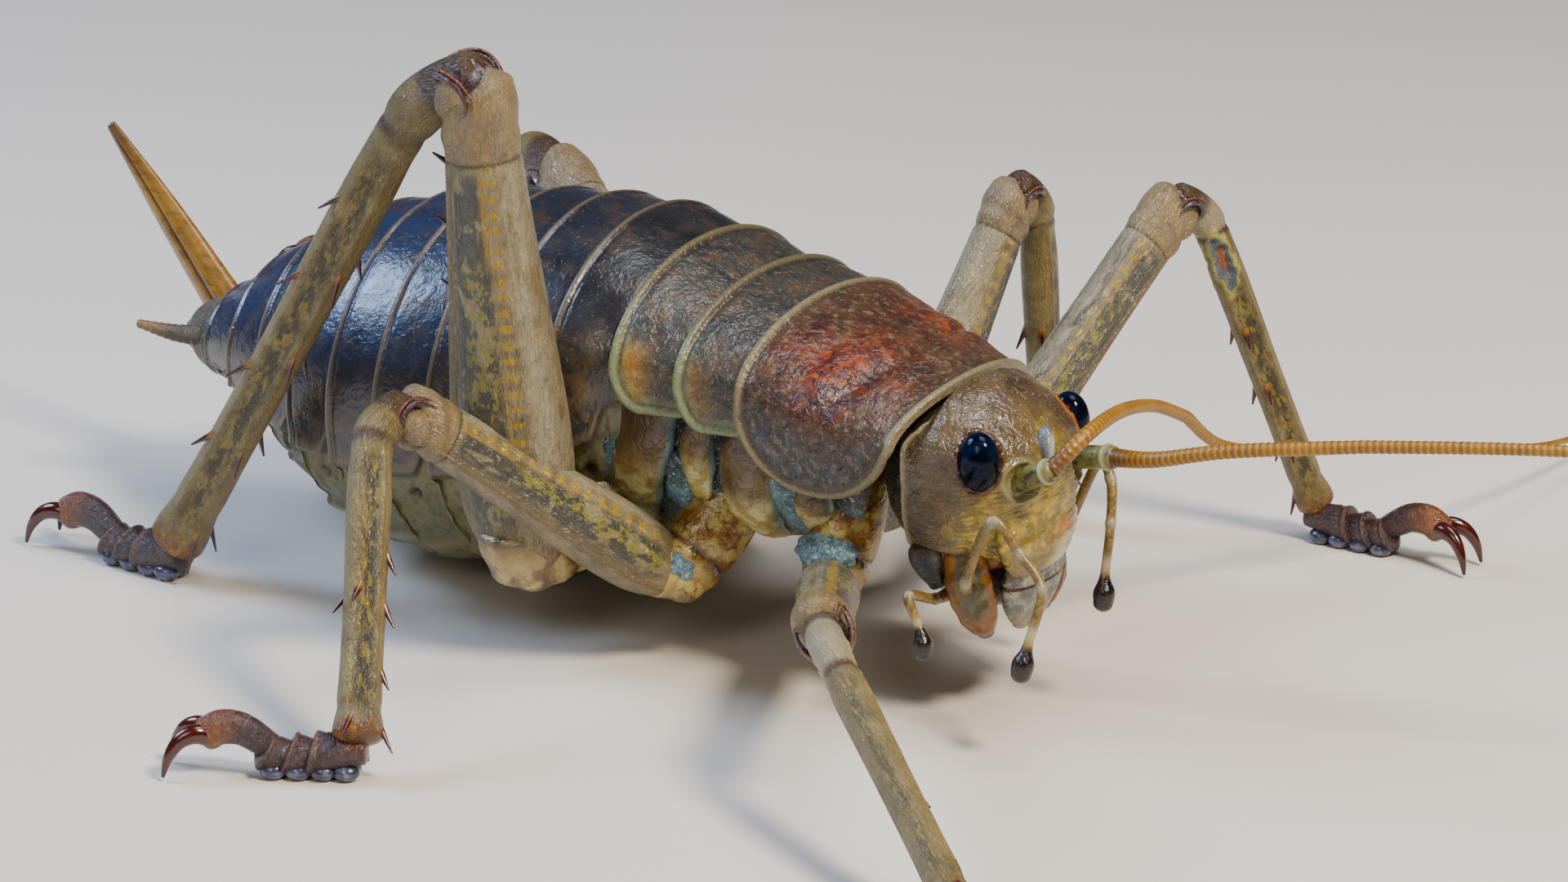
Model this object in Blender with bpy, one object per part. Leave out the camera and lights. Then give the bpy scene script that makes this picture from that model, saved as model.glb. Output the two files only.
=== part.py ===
import math
import random

import bmesh
import bpy
from mathutils import Matrix, Vector

# A wetapunga: a live adult female giant weta, standing with its head toward -Y.
# Sizes and places below are in millimetres, and scale turns them into metres.
scale = 0.001
gap = 0.3
floorLevel = 0.0
rimStep = 0.6
plateThickness = 1.2

# The body's section at each y: shift in x, half width, widest level, top and bottom.
bodyStations = (
    (4.0, -1.2, 8.6, 17.0, 21.2, 8.5),
    (10.0, -0.6, 9.6, 18.4, 22.4, 7.4),
    (15.8, 0.0, 10.4, 19.2, 23.7, 6.0),
    (20.0, 0.0, 10.6, 19.4, 24.5, 5.2),
    (24.6, 0.0, 11.0, 19.2, 25.8, 4.4),
    (29.0, 0.0, 11.9, 17.0, 26.8, 3.4),
    (35.0, 0.0, 12.8, 14.6, 26.6, 1.9),
    (42.0, 0.0, 12.9, 13.2, 25.6, 1.0),
    (49.0, 0.0, 11.4, 12.6, 23.8, 2.0),
    (55.0, 0.0, 8.8, 12.6, 21.0, 5.6),
    (60.0, 0.0, 5.9, 12.4, 17.4, 8.6),
    (64.0, 0.0, 3.2, 12.0, 14.4, 9.9),
)

# The thorax plates: front, rear, lowest level, rise at the corners, backward sweep of the
# front edge at the sides, colour.
thoraxPlates = (
    ("pronotum", 4.0, 15.8, 13.4, 5.4, 1.4, (0.10, 0.052, 0.035)),
    ("mesonotum", 16.1, 20.1, 16.4, 3.4, 0.0, (0.052, 0.052, 0.046)),
    ("metanotum", 20.4, 24.6, 16.9, 3.2, 0.0, (0.060, 0.056, 0.044)),
)
thoraxFront = 9.6
thoraxRear = 24.8
abdomenFront = 25.1
abdomenRear = 62.6
tergiteCount = 9

# The head leans and turns a little to the animal's right.
headShift = Vector((-2.0, 0.0, 0.0))
headTurn = math.radians(-3.5)
headStations = (
    (9.3, 3.6, 1.0, 5.6),
    (10.6, 5.0, -0.4, 7.0),
    (12.6, 5.8, -1.6, 8.4),
    (15.2, 6.2, -2.3, 9.0),
    (17.6, 6.2, -1.9, 9.0),
    (19.2, 5.2, -0.5, 8.2),
    (20.2, 3.8, 0.8, 6.6),
    (20.8, 1.8, 2.2, 4.8),
)
eyeSpread = 4.95
eyeLevel = 17.3
eyeForward = 0.3
eyeHalf = (1.15, 1.35, 1.85)

# Each leg's hip, knee, ankle and foot tip, right side first.
legPoints = {
    "fore_right": ((-6.2, 11.3, 7.0), (-22.5, 1.6, 11.5), (-34.6, -15.0, 2.8), (-40.2, -25.4, 0.0)),
    "fore_left": ((8.0, 9.6, 8.6), (25.0, 4.6, 25.6), (35.6, -1.4, 2.8), (36.0, -13.0, 0.0)),
    "middle_right": ((-8.0, 21.5, 5.9), (-21.4, 32.5, 18.5), (-33.6, 26.6, 2.8), (-39.3, 36.4, 0.0)),
    "middle_left": ((10.6, 16.8, 7.0), (21.8, 14.8, 25.4), (27.2, 14.4, 2.8), (33.4, 23.6, 0.0)),
    "hind_right": ((-12.6, 29.8, 6.8), (-17.6, 29.6, 38.9), (-14.4, 56.4, 3.0), (-13.8, 68.8, 0.0)),
    "hind_left": ((12.6, 29.8, 6.8), (28.4, 56.6, 18.4), (43.2, 82.4, 3.0), (42.2, 93.4, 0.0)),
}

# Half widths and half heights: coxa, femur at its base and at its knee, tibia, tarsus.
legSizes = {
    "fore": {"coxa": 2.3, "femurBase": (1.9, 2.3), "femurKnee": (1.5, 1.8), "tibia": 1.35, "tarsus": 1.15},
    "middle": {"coxa": 2.4, "femurBase": (2.1, 2.5), "femurKnee": (1.6, 1.9), "tibia": 1.4, "tarsus": 1.15},
    "hind": {"coxa": 2.9, "femurBase": (3.0, 3.9), "femurKnee": (2.1, 2.4), "tibia": 1.7, "tarsus": 1.3},
}
coxaRoots = {"fore": (2.6, 11.6, 13.6), "middle": (3.4, 19.6, 11.6), "hind": (5.0, 27.0, 11.0)}

# Along a tibia: share of its length, size, and share of its outward bow past the knee.
tibiaProfile = (
    (0.0, 1.0, 0.0), (0.05, 1.1, 0.55), (0.11, 1.12, 0.95), (0.18, 0.95, 1.0), (0.3, 1.0, 0.85),
    (0.6, 0.92, 0.45), (0.85, 0.95, 0.15), (1.0, 1.1, 0.0),
)
kneeBow = 1.1

# Spines on each tibia: places along it on the inner and the outer edges, with their length.
tibiaSpines = {
    "fore": {"inner": (0.42, 0.62, 0.80), "outer": (), "length": 1.3},
    "middle": {"inner": (0.46, 0.62, 0.80), "outer": (0.60,), "length": 1.4},
    "hind": {"inner": (0.40, 0.58, 0.76), "outer": (0.30, 0.46, 0.62, 0.78), "length": 2.1},
}
spineHalf = 0.36
spurPlace = 0.955
spineClearance = 0.6
femurSpines = (0.42, 0.55, 0.68, 0.81)
spineSeed = 7

ovipositorStops = (
    (0.2, 61.0, 10.4, 1.7, 2.3),
    (1.2, 65.2, 13.8, 1.2, 2.0),
    (2.4, 70.8, 18.6, 0.75, 1.5),
    (3.2, 76.6, 24.0, 0.35, 0.6),
)

antennaStops = {
    "left": (
        (0.4, -1.4, 16.0, 1.05), (-0.5, -5.0, 16.9, 1.0), (-1.2, -8.2, 17.6, 0.62),
        (-0.9, -13.0, 19.0, 0.55), (1.2, -20.6, 20.2, 0.5), (4.2, -31.0, 21.2, 0.45),
        (9.0, -45.0, 21.6, 0.4), (17.0, -60.0, 19.0, 0.35), (28.0, -73.0, 12.6, 0.3),
        (35.0, -80.0, 7.2, 0.25),
    ),
    "right": (
        (-4.4, -1.2, 16.0, 1.05), (-5.8, -3.7, 17.3, 0.95), (-3.3, -4.8, 19.2, 0.6),
        (2.3, -4.0, 18.9, 0.55), (7.7, -3.4, 17.6, 0.5), (12.8, -3.0, 15.4, 0.5),
        (17.7, -2.9, 12.2, 0.45), (23.0, -4.4, 10.5, 0.42), (28.0, -7.6, 9.9, 0.4),
        (34.4, -9.8, 8.5, 0.36), (42.5, -10.6, 6.4, 0.32), (52.0, -10.8, 4.0, 0.28),
        (60.0, -10.8, 2.6, 0.25),
    ),
}
# The stops at which each antenna is divided: its scape, then three lengths of flagellum.
antennaDivisions = {"left": (0, 1, 4, 6, 9), "right": (0, 1, 5, 8, 12)}

palpStops = {
    "palp_maxillary_right": (
        (-5.6, 1.6, 8.6, 0.75), (-8.0, 0.6, 10.0, 0.5), (-8.6, -1.4, 14.4, 0.5), (-8.2, -3.2, 12.6, 0.45),
        (-8.4, -4.8, 10.8, 0.45), (-9.4, -4.6, 7.7, 0.5), (-9.7, -4.5, 6.6, 0.8), (-9.8, -4.4, 5.9, 0.75),
    ),
    "palp_maxillary_left": (
        (1.8, 1.4, 8.6, 0.75), (3.2, 0.0, 10.4, 0.5), (2.8, -2.2, 15.0, 0.5), (2.4, -3.4, 14.2, 0.5),
        (1.4, -4.0, 11.8, 0.45), (0.6, -4.2, 9.0, 0.5), (0.4, -4.3, 7.9, 0.8), (0.3, -4.3, 7.2, 0.75),
    ),
    "palp_labial_right": (
        (-4.2, 3.4, 7.8, 0.7), (-6.4, 3.6, 7.8, 0.5), (-9.2, 3.8, 8.8, 0.5), (-9.6, 2.8, 7.2, 0.45),
        (-9.8, 2.4, 6.3, 0.7), (-9.8, 2.4, 5.7, 0.65),
    ),
    "palp_labial_left": (
        (0.4, 3.4, 7.8, 0.7), (2.6, 3.4, 7.8, 0.5), (5.0, 3.4, 8.6, 0.5), (5.6, 2.4, 7.2, 0.45),
        (5.8, 2.0, 6.3, 0.7), (5.8, 2.0, 5.7, 0.65),
    ),
}

# Linear colours with a roughness for each kind of surface.
headColour = (0.26, 0.17, 0.085)
eyeColour = (0.006, 0.008, 0.018)
mouthColour = (0.34, 0.12, 0.025)
labrumColour = (0.40, 0.36, 0.29)
antennaColour = (0.52, 0.22, 0.05)
palpColour = (0.42, 0.33, 0.19)
pleuraColour = (0.30, 0.22, 0.10)
tergiteColour = (0.040, 0.043, 0.058)
tailColour = (0.075, 0.070, 0.066)
femurColour = (0.33, 0.26, 0.14)
tibiaColour = (0.28, 0.18, 0.075)
tarsusColour = (0.075, 0.020, 0.014)


def clearScene():
    for item in list(bpy.data.objects):
        bpy.data.objects.remove(item, do_unlink=True)


def smooth(rows, steps):
    # Catmull-Rom through rows of numbers, with this many steps for each span.
    result = []
    for index in range(len(rows) - 1):
        before = rows[max(index - 1, 0)]
        start = rows[index]
        end = rows[index + 1]
        after = rows[min(index + 2, len(rows) - 1)]
        for step in range(steps):
            t = step / steps
            result.append(tuple(
                0.5 * (2 * q + (r - p) * t + (2 * p - 5 * q + 4 * r - s) * t * t
                       + (3 * q - p - 3 * r + s) * t ** 3)
                for p, q, r, s in zip(before, start, end, after)))
    result.append(tuple(rows[-1]))
    return result


bodyRows = smooth(bodyStations, 8)


def bodyAt(y):
    # The smoothed section at this y.
    for near, far in zip(bodyRows, bodyRows[1:]):
        if y <= far[0]:
            break
    share = (y - near[0]) / (far[0] - near[0])
    return [a + (b - a) * share for a, b in zip(near, far)]


def bodyPoint(y, angle, inset):
    # A point of the section at this angle from the top, this far inside the surface.
    shift, half, middle, top, bottom = bodyAt(y)[1:]
    rise = top - middle if abs(angle) < math.pi / 2 else middle - bottom
    x = shift + (half - inset) * math.sin(angle)
    return Vector((x, y, middle + (rise - inset) * math.cos(angle)))


def solid(name, rings, colour, roughness):
    # A closed body through rings of points, capped at both ends.
    mesh = bpy.data.meshes.new(name)
    shape = bmesh.new()
    loops = [[shape.verts.new(point * scale) for point in ring] for ring in rings]
    for near, far in zip(loops, loops[1:]):
        for index in range(len(near)):
            following = (index + 1) % len(near)
            shape.faces.new((near[index], near[following], far[following], far[index]))
    shape.faces.new(loops[0])
    shape.faces.new(loops[-1])
    bmesh.ops.recalc_face_normals(shape, faces=shape.faces)
    shape.to_mesh(mesh)
    shape.free()
    mesh.shade_smooth()
    mesh.set_sharp_from_angle(angle=math.radians(40))
    item = bpy.data.objects.new(name, mesh)
    bpy.context.collection.objects.link(item)
    material = bpy.data.materials.new(name)
    material.use_nodes = True
    surface = material.node_tree.nodes["Principled BSDF"]
    surface.inputs["Base Color"].default_value = (*colour, 1)
    surface.inputs["Roughness"].default_value = roughness
    surface.inputs["Metallic"].default_value = 0
    mesh.materials.append(material)
    return item


def tubeRings(stops, side, sides, steps, roundStart=0.0, roundEnd=0.0):
    # Rings along stops of x, y, z, half width and half height, with optional domed ends.
    rows = smooth(stops, steps)
    centres = [Vector(row[:3]) for row in rows]
    sizes = [row[3:] for row in rows]
    rings = []
    for index, centre in enumerate(centres):
        along = centres[min(index + 1, len(rows) - 1)] - centres[max(index - 1, 0)]
        along.normalize()
        across = (side - along * side.dot(along)).normalized()
        upward = across.cross(along)
        half, tall = sizes[index]

        def ring(offset, share):
            turns = [2 * math.pi * (k + 0.5) / sides for k in range(sides)]
            return [centre + along * offset + across * half * share * math.cos(turn)
                    + upward * tall * share * math.sin(turn) for turn in turns]

        domes = [(math.sin(math.radians(a)), math.cos(math.radians(a))) for a in (68, 35)]
        if index == 0 and roundStart:
            rings += [ring(-half * roundStart * far, near) for far, near in domes]
        rings.append(ring(0, 1))
        if index == len(rows) - 1 and roundEnd:
            rings += [ring(half * roundEnd * far, near) for far, near in reversed(domes)]
    return rings


def largestBody(item):
    # Only the largest closed surface of the object is kept.
    shape = bmesh.new()
    shape.from_mesh(item.data)
    bmesh.ops.triangulate(shape, faces=shape.faces)
    left = set(shape.faces)
    bodies = []
    while left:
        front = [left.pop()]
        body = list(front)
        while front:
            for edge in front.pop().edges:
                for face in edge.link_faces:
                    if face in left:
                        left.remove(face)
                        front.append(face)
                        body.append(face)
        corners = [[vert.co for vert in face.verts] for face in body]
        volume = sum(a.dot(b.cross(c)) for a, b, c in corners)
        bodies.append((volume, body))
    bodies.sort(key=lambda entry: entry[0])
    spare = [face for volume, body in bodies[:-1] for face in body]
    if spare:
        bmesh.ops.delete(shape, geom=spare, context="FACES")
        loose = [vert for vert in shape.verts if not vert.link_faces]
        bmesh.ops.delete(shape, geom=loose, context="VERTS")
        shape.to_mesh(item.data)
    shape.free()


def closedVolume(mesh):
    # The mesh's volume, or nothing where the mesh has an open edge.
    shape = bmesh.new()
    shape.from_mesh(mesh)
    closed = all(len(edge.link_faces) == 2 for edge in shape.edges)
    volume = shape.calc_volume() if closed else 0
    shape.free()
    return volume


def combine(item, pieces, operation):
    # One Boolean with a collection of pieces, applied, and the pieces are removed.
    group = bpy.data.collections.new(item.name + "_pieces")
    bpy.context.scene.collection.children.link(group)
    for piece in pieces:
        bpy.context.collection.objects.unlink(piece)
        group.objects.link(piece)
    before = item.data.copy()
    least = closedVolume(before) * (0.99 if operation == "UNION" else 0.2)
    bpy.context.view_layer.objects.active = item
    for solver in ("EXACT", "MANIFOLD"):
        item.data = before.copy()
        modifier = item.modifiers.new("combine", "BOOLEAN")
        modifier.operand_type = "COLLECTION"
        modifier.collection = group
        modifier.operation = operation
        modifier.solver = solver
        bpy.ops.object.modifier_apply(modifier=modifier.name)
        largestBody(item)
        if closedVolume(item.data) > least:
            break
    for piece in pieces:
        bpy.data.objects.remove(piece, do_unlink=True)
    bpy.data.collections.remove(group)


def fitAgainst(item, *neighbours):
    # The object is cut back so that it keeps the gap to each neighbour.
    cutters = []
    for neighbour in neighbours:
        cutter = neighbour.copy()
        cutter.data = neighbour.data.copy()
        bpy.context.collection.objects.link(cutter)
        shape = bmesh.new()
        shape.from_mesh(cutter.data)
        shape.normal_update()
        moved = [vert.co + vert.normal * gap * scale * min(vert.calc_shell_factor(), 1.6)
                 for vert in shape.verts]
        for vert, place in zip(shape.verts, moved):
            vert.co = place
        shape.to_mesh(cutter.data)
        shape.free()
        cutters.append(cutter)
    for cutter in cutters:
        combine(item, [cutter], "DIFFERENCE")


def headPlace(x, y, z):
    # A place on the head, in its own turned and shifted frame.
    turned = Vector((x * math.cos(headTurn) - y * math.sin(headTurn),
                     x * math.sin(headTurn) + y * math.cos(headTurn), z))
    return turned + headShift


def makeHead():
    rings = []
    for level, half, front, back in smooth(headStations, 2):
        ring = []
        for k in range(24):
            turn = 2 * math.pi * k / 24
            x = half * math.cos(turn)
            y = (front + back) / 2 + (back - front) / 2 * math.sin(turn)
            ring.append(headPlace(x, y, level))
        rings.append(ring)
    return solid("head", rings, headColour, 0.4)


def makeEye(name, direction, head):
    rings = []
    for k in range(1, 12):
        turn = math.pi * k / 12
        ring = []
        for j in range(16):
            spin = 2 * math.pi * j / 16
            x = direction * eyeSpread + eyeHalf[0] * math.sin(turn) * math.cos(spin)
            y = eyeForward + eyeHalf[1] * math.sin(turn) * math.sin(spin)
            ring.append(headPlace(x, y, eyeLevel + eyeHalf[2] * math.cos(turn)))
        rings.append(ring)
    eye = solid(name, rings, eyeColour, 0.08)
    fitAgainst(eye, head)
    return eye


def makePlate(name, front, rear, low, rise, sweep, colour):
    # A curved shield: it steps up toward its rear rim, and its lower corners are round.
    rings = []
    count = 7
    for step in range(count + 1):
        share = 0.5 - 0.5 * math.cos(math.pi * step / count)
        y = front + (rear - front) * share
        middle, top, bottom = bodyAt(y)[3:]
        edge = low + rise * abs(2 * share - 1) ** 3
        reach = math.acos(max(-1, (edge - middle) / (middle - bottom)))
        inset = rimStep * (1 - share)
        angles = [reach * (k / 9 - 1) for k in range(19)]
        outer = [bodyPoint(y, angle, inset) for angle in angles]
        inner = [bodyPoint(y, angle, plateThickness) for angle in reversed(angles)]
        for point in outer + inner:
            point.y += sweep * (1 - share) * min(1, abs(point.x) / 9) ** 2
        rings.append(outer + inner)
    return solid(name, rings, colour, 0.35)


def makeThorax(neighbours):
    # The core under the plates: side plates and breast plates.
    rings = []
    count = 10
    for step in range(count + 1):
        y = thoraxFront + (thoraxRear - thoraxFront) * step / count
        rings.append([bodyPoint(y, math.pi * (2 * k / 24 - 1), plateThickness + gap)
                      for k in range(24)])
    thorax = solid("thorax", rings, pleuraColour, 0.5)
    fitAgainst(thorax, *neighbours)
    return thorax


def makeAbdomen():
    # Ringed segments, each with a rim at its rear that stands proud of the next.
    length = (abdomenRear - abdomenFront) / tergiteCount
    segments = []
    for number in range(tergiteCount):
        front = abdomenFront + number * length
        rings = []
        for share in (0.0, 0.35, 0.7, 1.0):
            y = front + (length - gap) * share
            inset = rimStep * (1 - share)
            rings.append([bodyPoint(y, math.pi * (2 * k / 24 - 1), inset) for k in range(24)])
        name = "abdomen_%d" % (number + 1)
        segments.append(solid(name, rings, tergiteColour, 0.28))
    return segments


def makeTail(lastSegment):
    # The last small plate over the root of the ovipositor.
    stops = ((0, 62.8, 12.0, 3.6, 3.0), (0, 64.6, 11.9, 2.9, 2.3), (0, 66.0, 11.6, 1.6, 1.2))
    tail = solid("tail_plate", tubeRings(stops, Vector((1, 0, 0)), 14, 3, 0, 0.6), tailColour, 0.4)
    fitAgainst(tail, lastSegment)
    return tail


def makeTube(name, stops, colour, roughness, sides=8, steps=3, ends=(0.0, 0.9), side=None):
    rows = [row if len(row) == 5 else (*row, row[3]) for row in stops]
    across = side or Vector((0.9, 0.1, 0.3))
    return solid(name, tubeRings(rows, across, sides, steps, *ends), colour, roughness)


def makeAntenna(which, head):
    # The scape sits in the face, and the lengths of the flagellum meet end to end.
    stops = antennaStops[which]
    divisions = antennaDivisions[which]
    previous = head
    made = []
    for number, (first, last) in enumerate(zip(divisions, divisions[1:])):
        name = "antenna_%s_%s" % (which, "scape" if number == 0 else number)
        ending = 0.9 if last == len(stops) - 1 else 0.0
        item = makeTube(name, stops[first:last + 1], antennaColour, 0.45, 7, 3, (0.0, ending))
        fitAgainst(item, previous)
        made.append(item)
        previous = item
    return made


def makeSpine(place, direction, length, half):
    # A thorn of four sides, with its root sunk into what it grows from.
    root = place - direction * half * 1.4
    lowest = place.z + direction.z * length
    if lowest < spineClearance:
        direction = (direction + Vector((0, 0, (spineClearance - lowest) / length))).normalized()
    stops = ((*root, half, half), (*(place + direction * length * 0.5), half * 0.6, half * 0.6),
             (*(place + direction * length), 0.08, 0.08))
    side = direction.orthogonal().normalized()
    return solid("spine", tubeRings(stops, side, 4, 1), tarsusColour, 0.3)


def legFrame(hip, knee, ankle):
    # The hinge line across the leg, and the inward side of the tibia.
    thigh = (knee - hip).normalized()
    shin = (ankle - knee).normalized()
    hinge = thigh.cross(shin).normalized()
    inward = hinge.cross(shin) if (hip - knee).dot(hinge.cross(shin)) > 0 else shin.cross(hinge)
    return hinge, inward.normalized()


def makeCoxa(name, root, hip, half, neighbours):
    middle = (root + hip) / 2 + Vector((0, 0, -0.4))
    stops = ((*root, half, half), (*middle, half, half), (*hip, half * 0.8, half * 0.8))
    coxa = solid(name, tubeRings(stops, Vector((0, 1, 0)), 10, 2, 0.3, 0.75), pleuraColour, 0.45)
    fitAgainst(coxa, *neighbours)
    return coxa


def makeFemur(name, hip, knee, hinge, sizes, spined):
    # Deep near its base, slim toward the knee, where it swells into two lobes.
    base = Vector(sizes["femurBase"])
    end = Vector(sizes["femurKnee"])
    profile = ((0.0, base * 0.62), (0.1, base * 0.92), (0.28, base), (0.62, base * 0.45 + end * 0.5),
               (0.86, end * 0.92), (0.95, end * 1.06), (1.0, end * 0.94))
    stops = [(*(hip.lerp(knee, share)), *size) for share, size in profile]
    femur = solid(name, tubeRings(stops, hinge, 10, 1, 0.4, 0.8), femurColour, 0.42)
    if spined:
        along = (knee - hip).normalized()
        lower = hinge.cross(along)
        spines = []
        for share in femurSpines:
            tall = base.lerp(end, share)[1]
            place = hip.lerp(knee, share) + lower * tall * 0.9
            spines.append(makeSpine(place, (lower + along * 0.5).normalized(), 1.3, spineHalf))
        combine(femur, spines, "UNION")
    return femur


def makeTibia(name, knee, ankle, hinge, inward, half, femur):
    # A shin that bows out past the knee, with a waist below it.
    shin = ankle - knee
    bow = half * kneeBow
    stops = [(*(knee + shin * share - inward * bow * bend), half * size * 0.9, half * size)
             for share, size, bend in tibiaProfile]
    tibia = solid(name, tubeRings(stops, hinge, 8, 1, 0.5, 0.5), tibiaColour, 0.42)
    fitAgainst(tibia, femur)
    return tibia


def addThorns(tibia, row, knee, ankle, hinge, inward, half, foot, draw):
    # Thorns along the shin's edges, and spurs at its end on the sides clear of the foot.
    shin = ankle - knee
    bow = half * kneeBow
    layout = tibiaSpines[row]
    places = [(share, 1, edge, 1.0) for share in layout["inner"] for edge in (-1, 1)]
    places += [(share, -1, edge, 0.9) for share in layout["outer"] for edge in (-1, 1)]
    places += [(spurPlace, facing, edge, 1.15) for facing in (-1, 1) for edge in (-1, 1)]
    spines = []
    along = shin.normalized()
    for share, facing, edge, size in places:
        share += draw.uniform(-0.015, 0.015)
        centre = knee + shin * share - inward * bow * (1.15 - 1.15 * share)
        outward = (inward * facing * 0.8 + hinge * edge * 0.6).normalized()
        direction = (outward + along * 0.75).normalized()
        length = layout["length"] * size * draw.uniform(0.85, 1.1)
        if share > 0.9 and outward.dot(foot) > 0.2:
            continue
        spines.append(makeSpine(centre + outward * half * 0.8, direction, length, spineHalf))
    combine(tibia, spines, "UNION")


def makeTarsus(name, ankle, tip, half, tibia):
    # Three padded segments flat on the floor, a long arched one and two curved claws.
    span = tip - Vector((ankle.x, ankle.y, floorLevel))
    length = span.length
    along = span.normalized()
    across = along.cross(Vector((0, 0, 1))).normalized()
    profile = (
        (0.0, 2.4, 0.85, 0.9), (0.08, 1.5, 1.15, 1.3), (0.17, 1.2, 1.25, 1.25), (0.22, 1.5, 0.9, 0.9),
        (0.29, 1.1, 1.2, 1.15), (0.34, 1.4, 0.9, 0.85), (0.41, 1.1, 1.2, 1.15), (0.47, 1.5, 0.75, 0.7),
        (0.6, 2.3, 0.7, 0.7), (0.72, 2.6, 0.8, 0.8), (0.8, 2.3, 0.85, 0.8),
    )
    stops = []
    for share, level, wide, tall in profile:
        place = Vector((ankle.x, ankle.y, floorLevel + level)) + along * length * share
        stops.append((*place, half * wide, half * tall))
    rings = tubeRings(stops, across, 8, 1, 0.3, 0.6)
    for ring in rings:
        for point in ring:
            point.z = max(point.z, floorLevel)
    tarsus = solid(name, rings, tarsusColour, 0.25)
    fitAgainst(tarsus, tibia)
    claws = []
    for spread in (-1, 1):
        course = ((0.74, 2.3, 0.12, 0.5), (0.86, 2.7, 0.22, 0.48), (0.95, 2.0, 0.34, 0.34), (1.0, 0.25, 0.42, 0.1))
        claw = []
        for share, level, wide, thick in course:
            place = Vector((ankle.x, ankle.y, floorLevel + level)) + along * length * share
            claw.append((*(place + across * spread * wide * length * 0.3), thick, thick))
        claws.append(solid("claw", tubeRings(claw, across, 5, 2), tarsusColour, 0.2))
    combine(tarsus, claws, "UNION")
    return tarsus


def makeLeg(leg, neighbours, draw):
    row, flank = leg.split("_")
    hip, knee, ankle, tip = [Vector(point) for point in legPoints[leg]]
    sizes = legSizes[row]
    x, y, z = coxaRoots[row]
    root = Vector((x if flank == "left" else -x, y, z))
    hinge, inward = legFrame(hip, knee, ankle)
    coxa = makeCoxa("coxa_" + leg, root, hip, sizes["coxa"], neighbours)
    femur = makeFemur("femur_" + leg, hip, knee, hinge, sizes, row == "hind")
    fitAgainst(femur, coxa, *neighbours)
    half = sizes["tibia"]
    tibia = makeTibia("tibia_" + leg, knee, ankle, hinge, inward, half, femur)
    makeTarsus("tarsus_" + leg, ankle, tip, sizes["tarsus"], tibia)
    foot = (tip - ankle).normalized()
    addThorns(tibia, row, knee, ankle, hinge, inward, half, foot, draw)
    return [coxa, femur]


def makeLabrum(head):
    # The upper lip hangs over the jaws.
    rows = ((11.2, 2.5, 0.9), (9.4, 2.5, 0.9), (7.8, 2.1, 0.8), (6.2, 1.4, 0.6))
    stops = []
    for level, half, thick in rows:
        place = headPlace(0.0, -1.1 + (11.2 - level) * 0.1, level)
        stops.append((*place, half, thick))
    labrum = makeTube("labrum", stops, labrumColour, 0.45, 10, 2, (0.2, 0.3), Vector((1, 0, 0)))
    fitAgainst(labrum, head)
    return labrum


def makeMandible(name, direction, neighbours):
    rows = ((10.8, 4.1, 1.6, 1.5, 2.3), (9.0, 4.0, 0.8, 1.5, 2.1), (7.2, 3.2, 0.0, 1.2, 1.5),
            (5.9, 2.3, -0.3, 0.7, 0.8))
    stops = [(*headPlace(direction * x, y, level), half, thick) for level, x, y, half, thick in rows]
    mandible = makeTube(name, stops, mouthColour, 0.3, 8, 2, (0.0, 0.5), Vector((1, 0, 0)))
    fitAgainst(mandible, *neighbours)
    return mandible


def centreOnFloor():
    # The origin is the middle of the whole model's box, on the floor.
    places = [item.matrix_world @ vert.co for item in bpy.data.objects for vert in item.data.vertices]
    middle = [(min(p[k] for p in places) + max(p[k] for p in places)) / 2 for k in range(2)]
    shift = Matrix.Translation((-middle[0], -middle[1], 0))
    for item in bpy.data.objects:
        item.data.transform(shift)


def build():
    clearScene()
    draw = random.Random(spineSeed)
    head = makeHead()
    makeEye("eye_right", -1, head)
    makeEye("eye_left", 1, head)
    labrum = makeLabrum(head)
    mandibleRight = makeMandible("mandible_right", -1, (head, labrum))
    mandibleLeft = makeMandible("mandible_left", 1, (head, labrum, mandibleRight))
    for name, stops in palpStops.items():
        palp = makeTube(name, stops, palpColour, 0.4, 6, 2, (0.0, 0.9))
        fitAgainst(palp, head, mandibleRight, mandibleLeft)
    for which in ("left", "right"):
        makeAntenna(which, head)
    plates = []
    for row in thoraxPlates:
        plates.append(makePlate(*row))
    fitAgainst(plates[0], head)
    thorax = makeThorax((head,))
    segments = makeAbdomen()
    tail = makeTail(segments[-1])
    ovipositor = makeTube("ovipositor", ovipositorStops, mouthColour, 0.35, 8, 4, (0.0, 0.6),
                          Vector((1, 0, 0)))
    fitAgainst(ovipositor, segments[-1], tail)
    for name, direction in (("cercus_right", -1), ("cercus_left", 1)):
        stops = ((direction * 2.2, 63.0, 12.4, 0.8), (direction * 3.2, 65.6, 12.4, 0.6),
                 (direction * 4.0, 68.2, 12.8, 0.3))
        cercus = makeTube(name, stops, tailColour, 0.5, 8, 2, (0.0, 0.6))
        fitAgainst(cercus, segments[-1], tail)
    neighbours = [thorax, *plates, segments[0], segments[1]]
    limbs = {"left": [], "right": []}
    for leg in legPoints:
        flank = leg.split("_")[1]
        limbs[flank] += makeLeg(leg, neighbours + limbs[flank], draw)
    centreOnFloor()


build()
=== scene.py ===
import math
import random

import bpy
import numpy as np
from mathutils import Matrix, Vector
from mathutils.kdtree import KDTree


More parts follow.
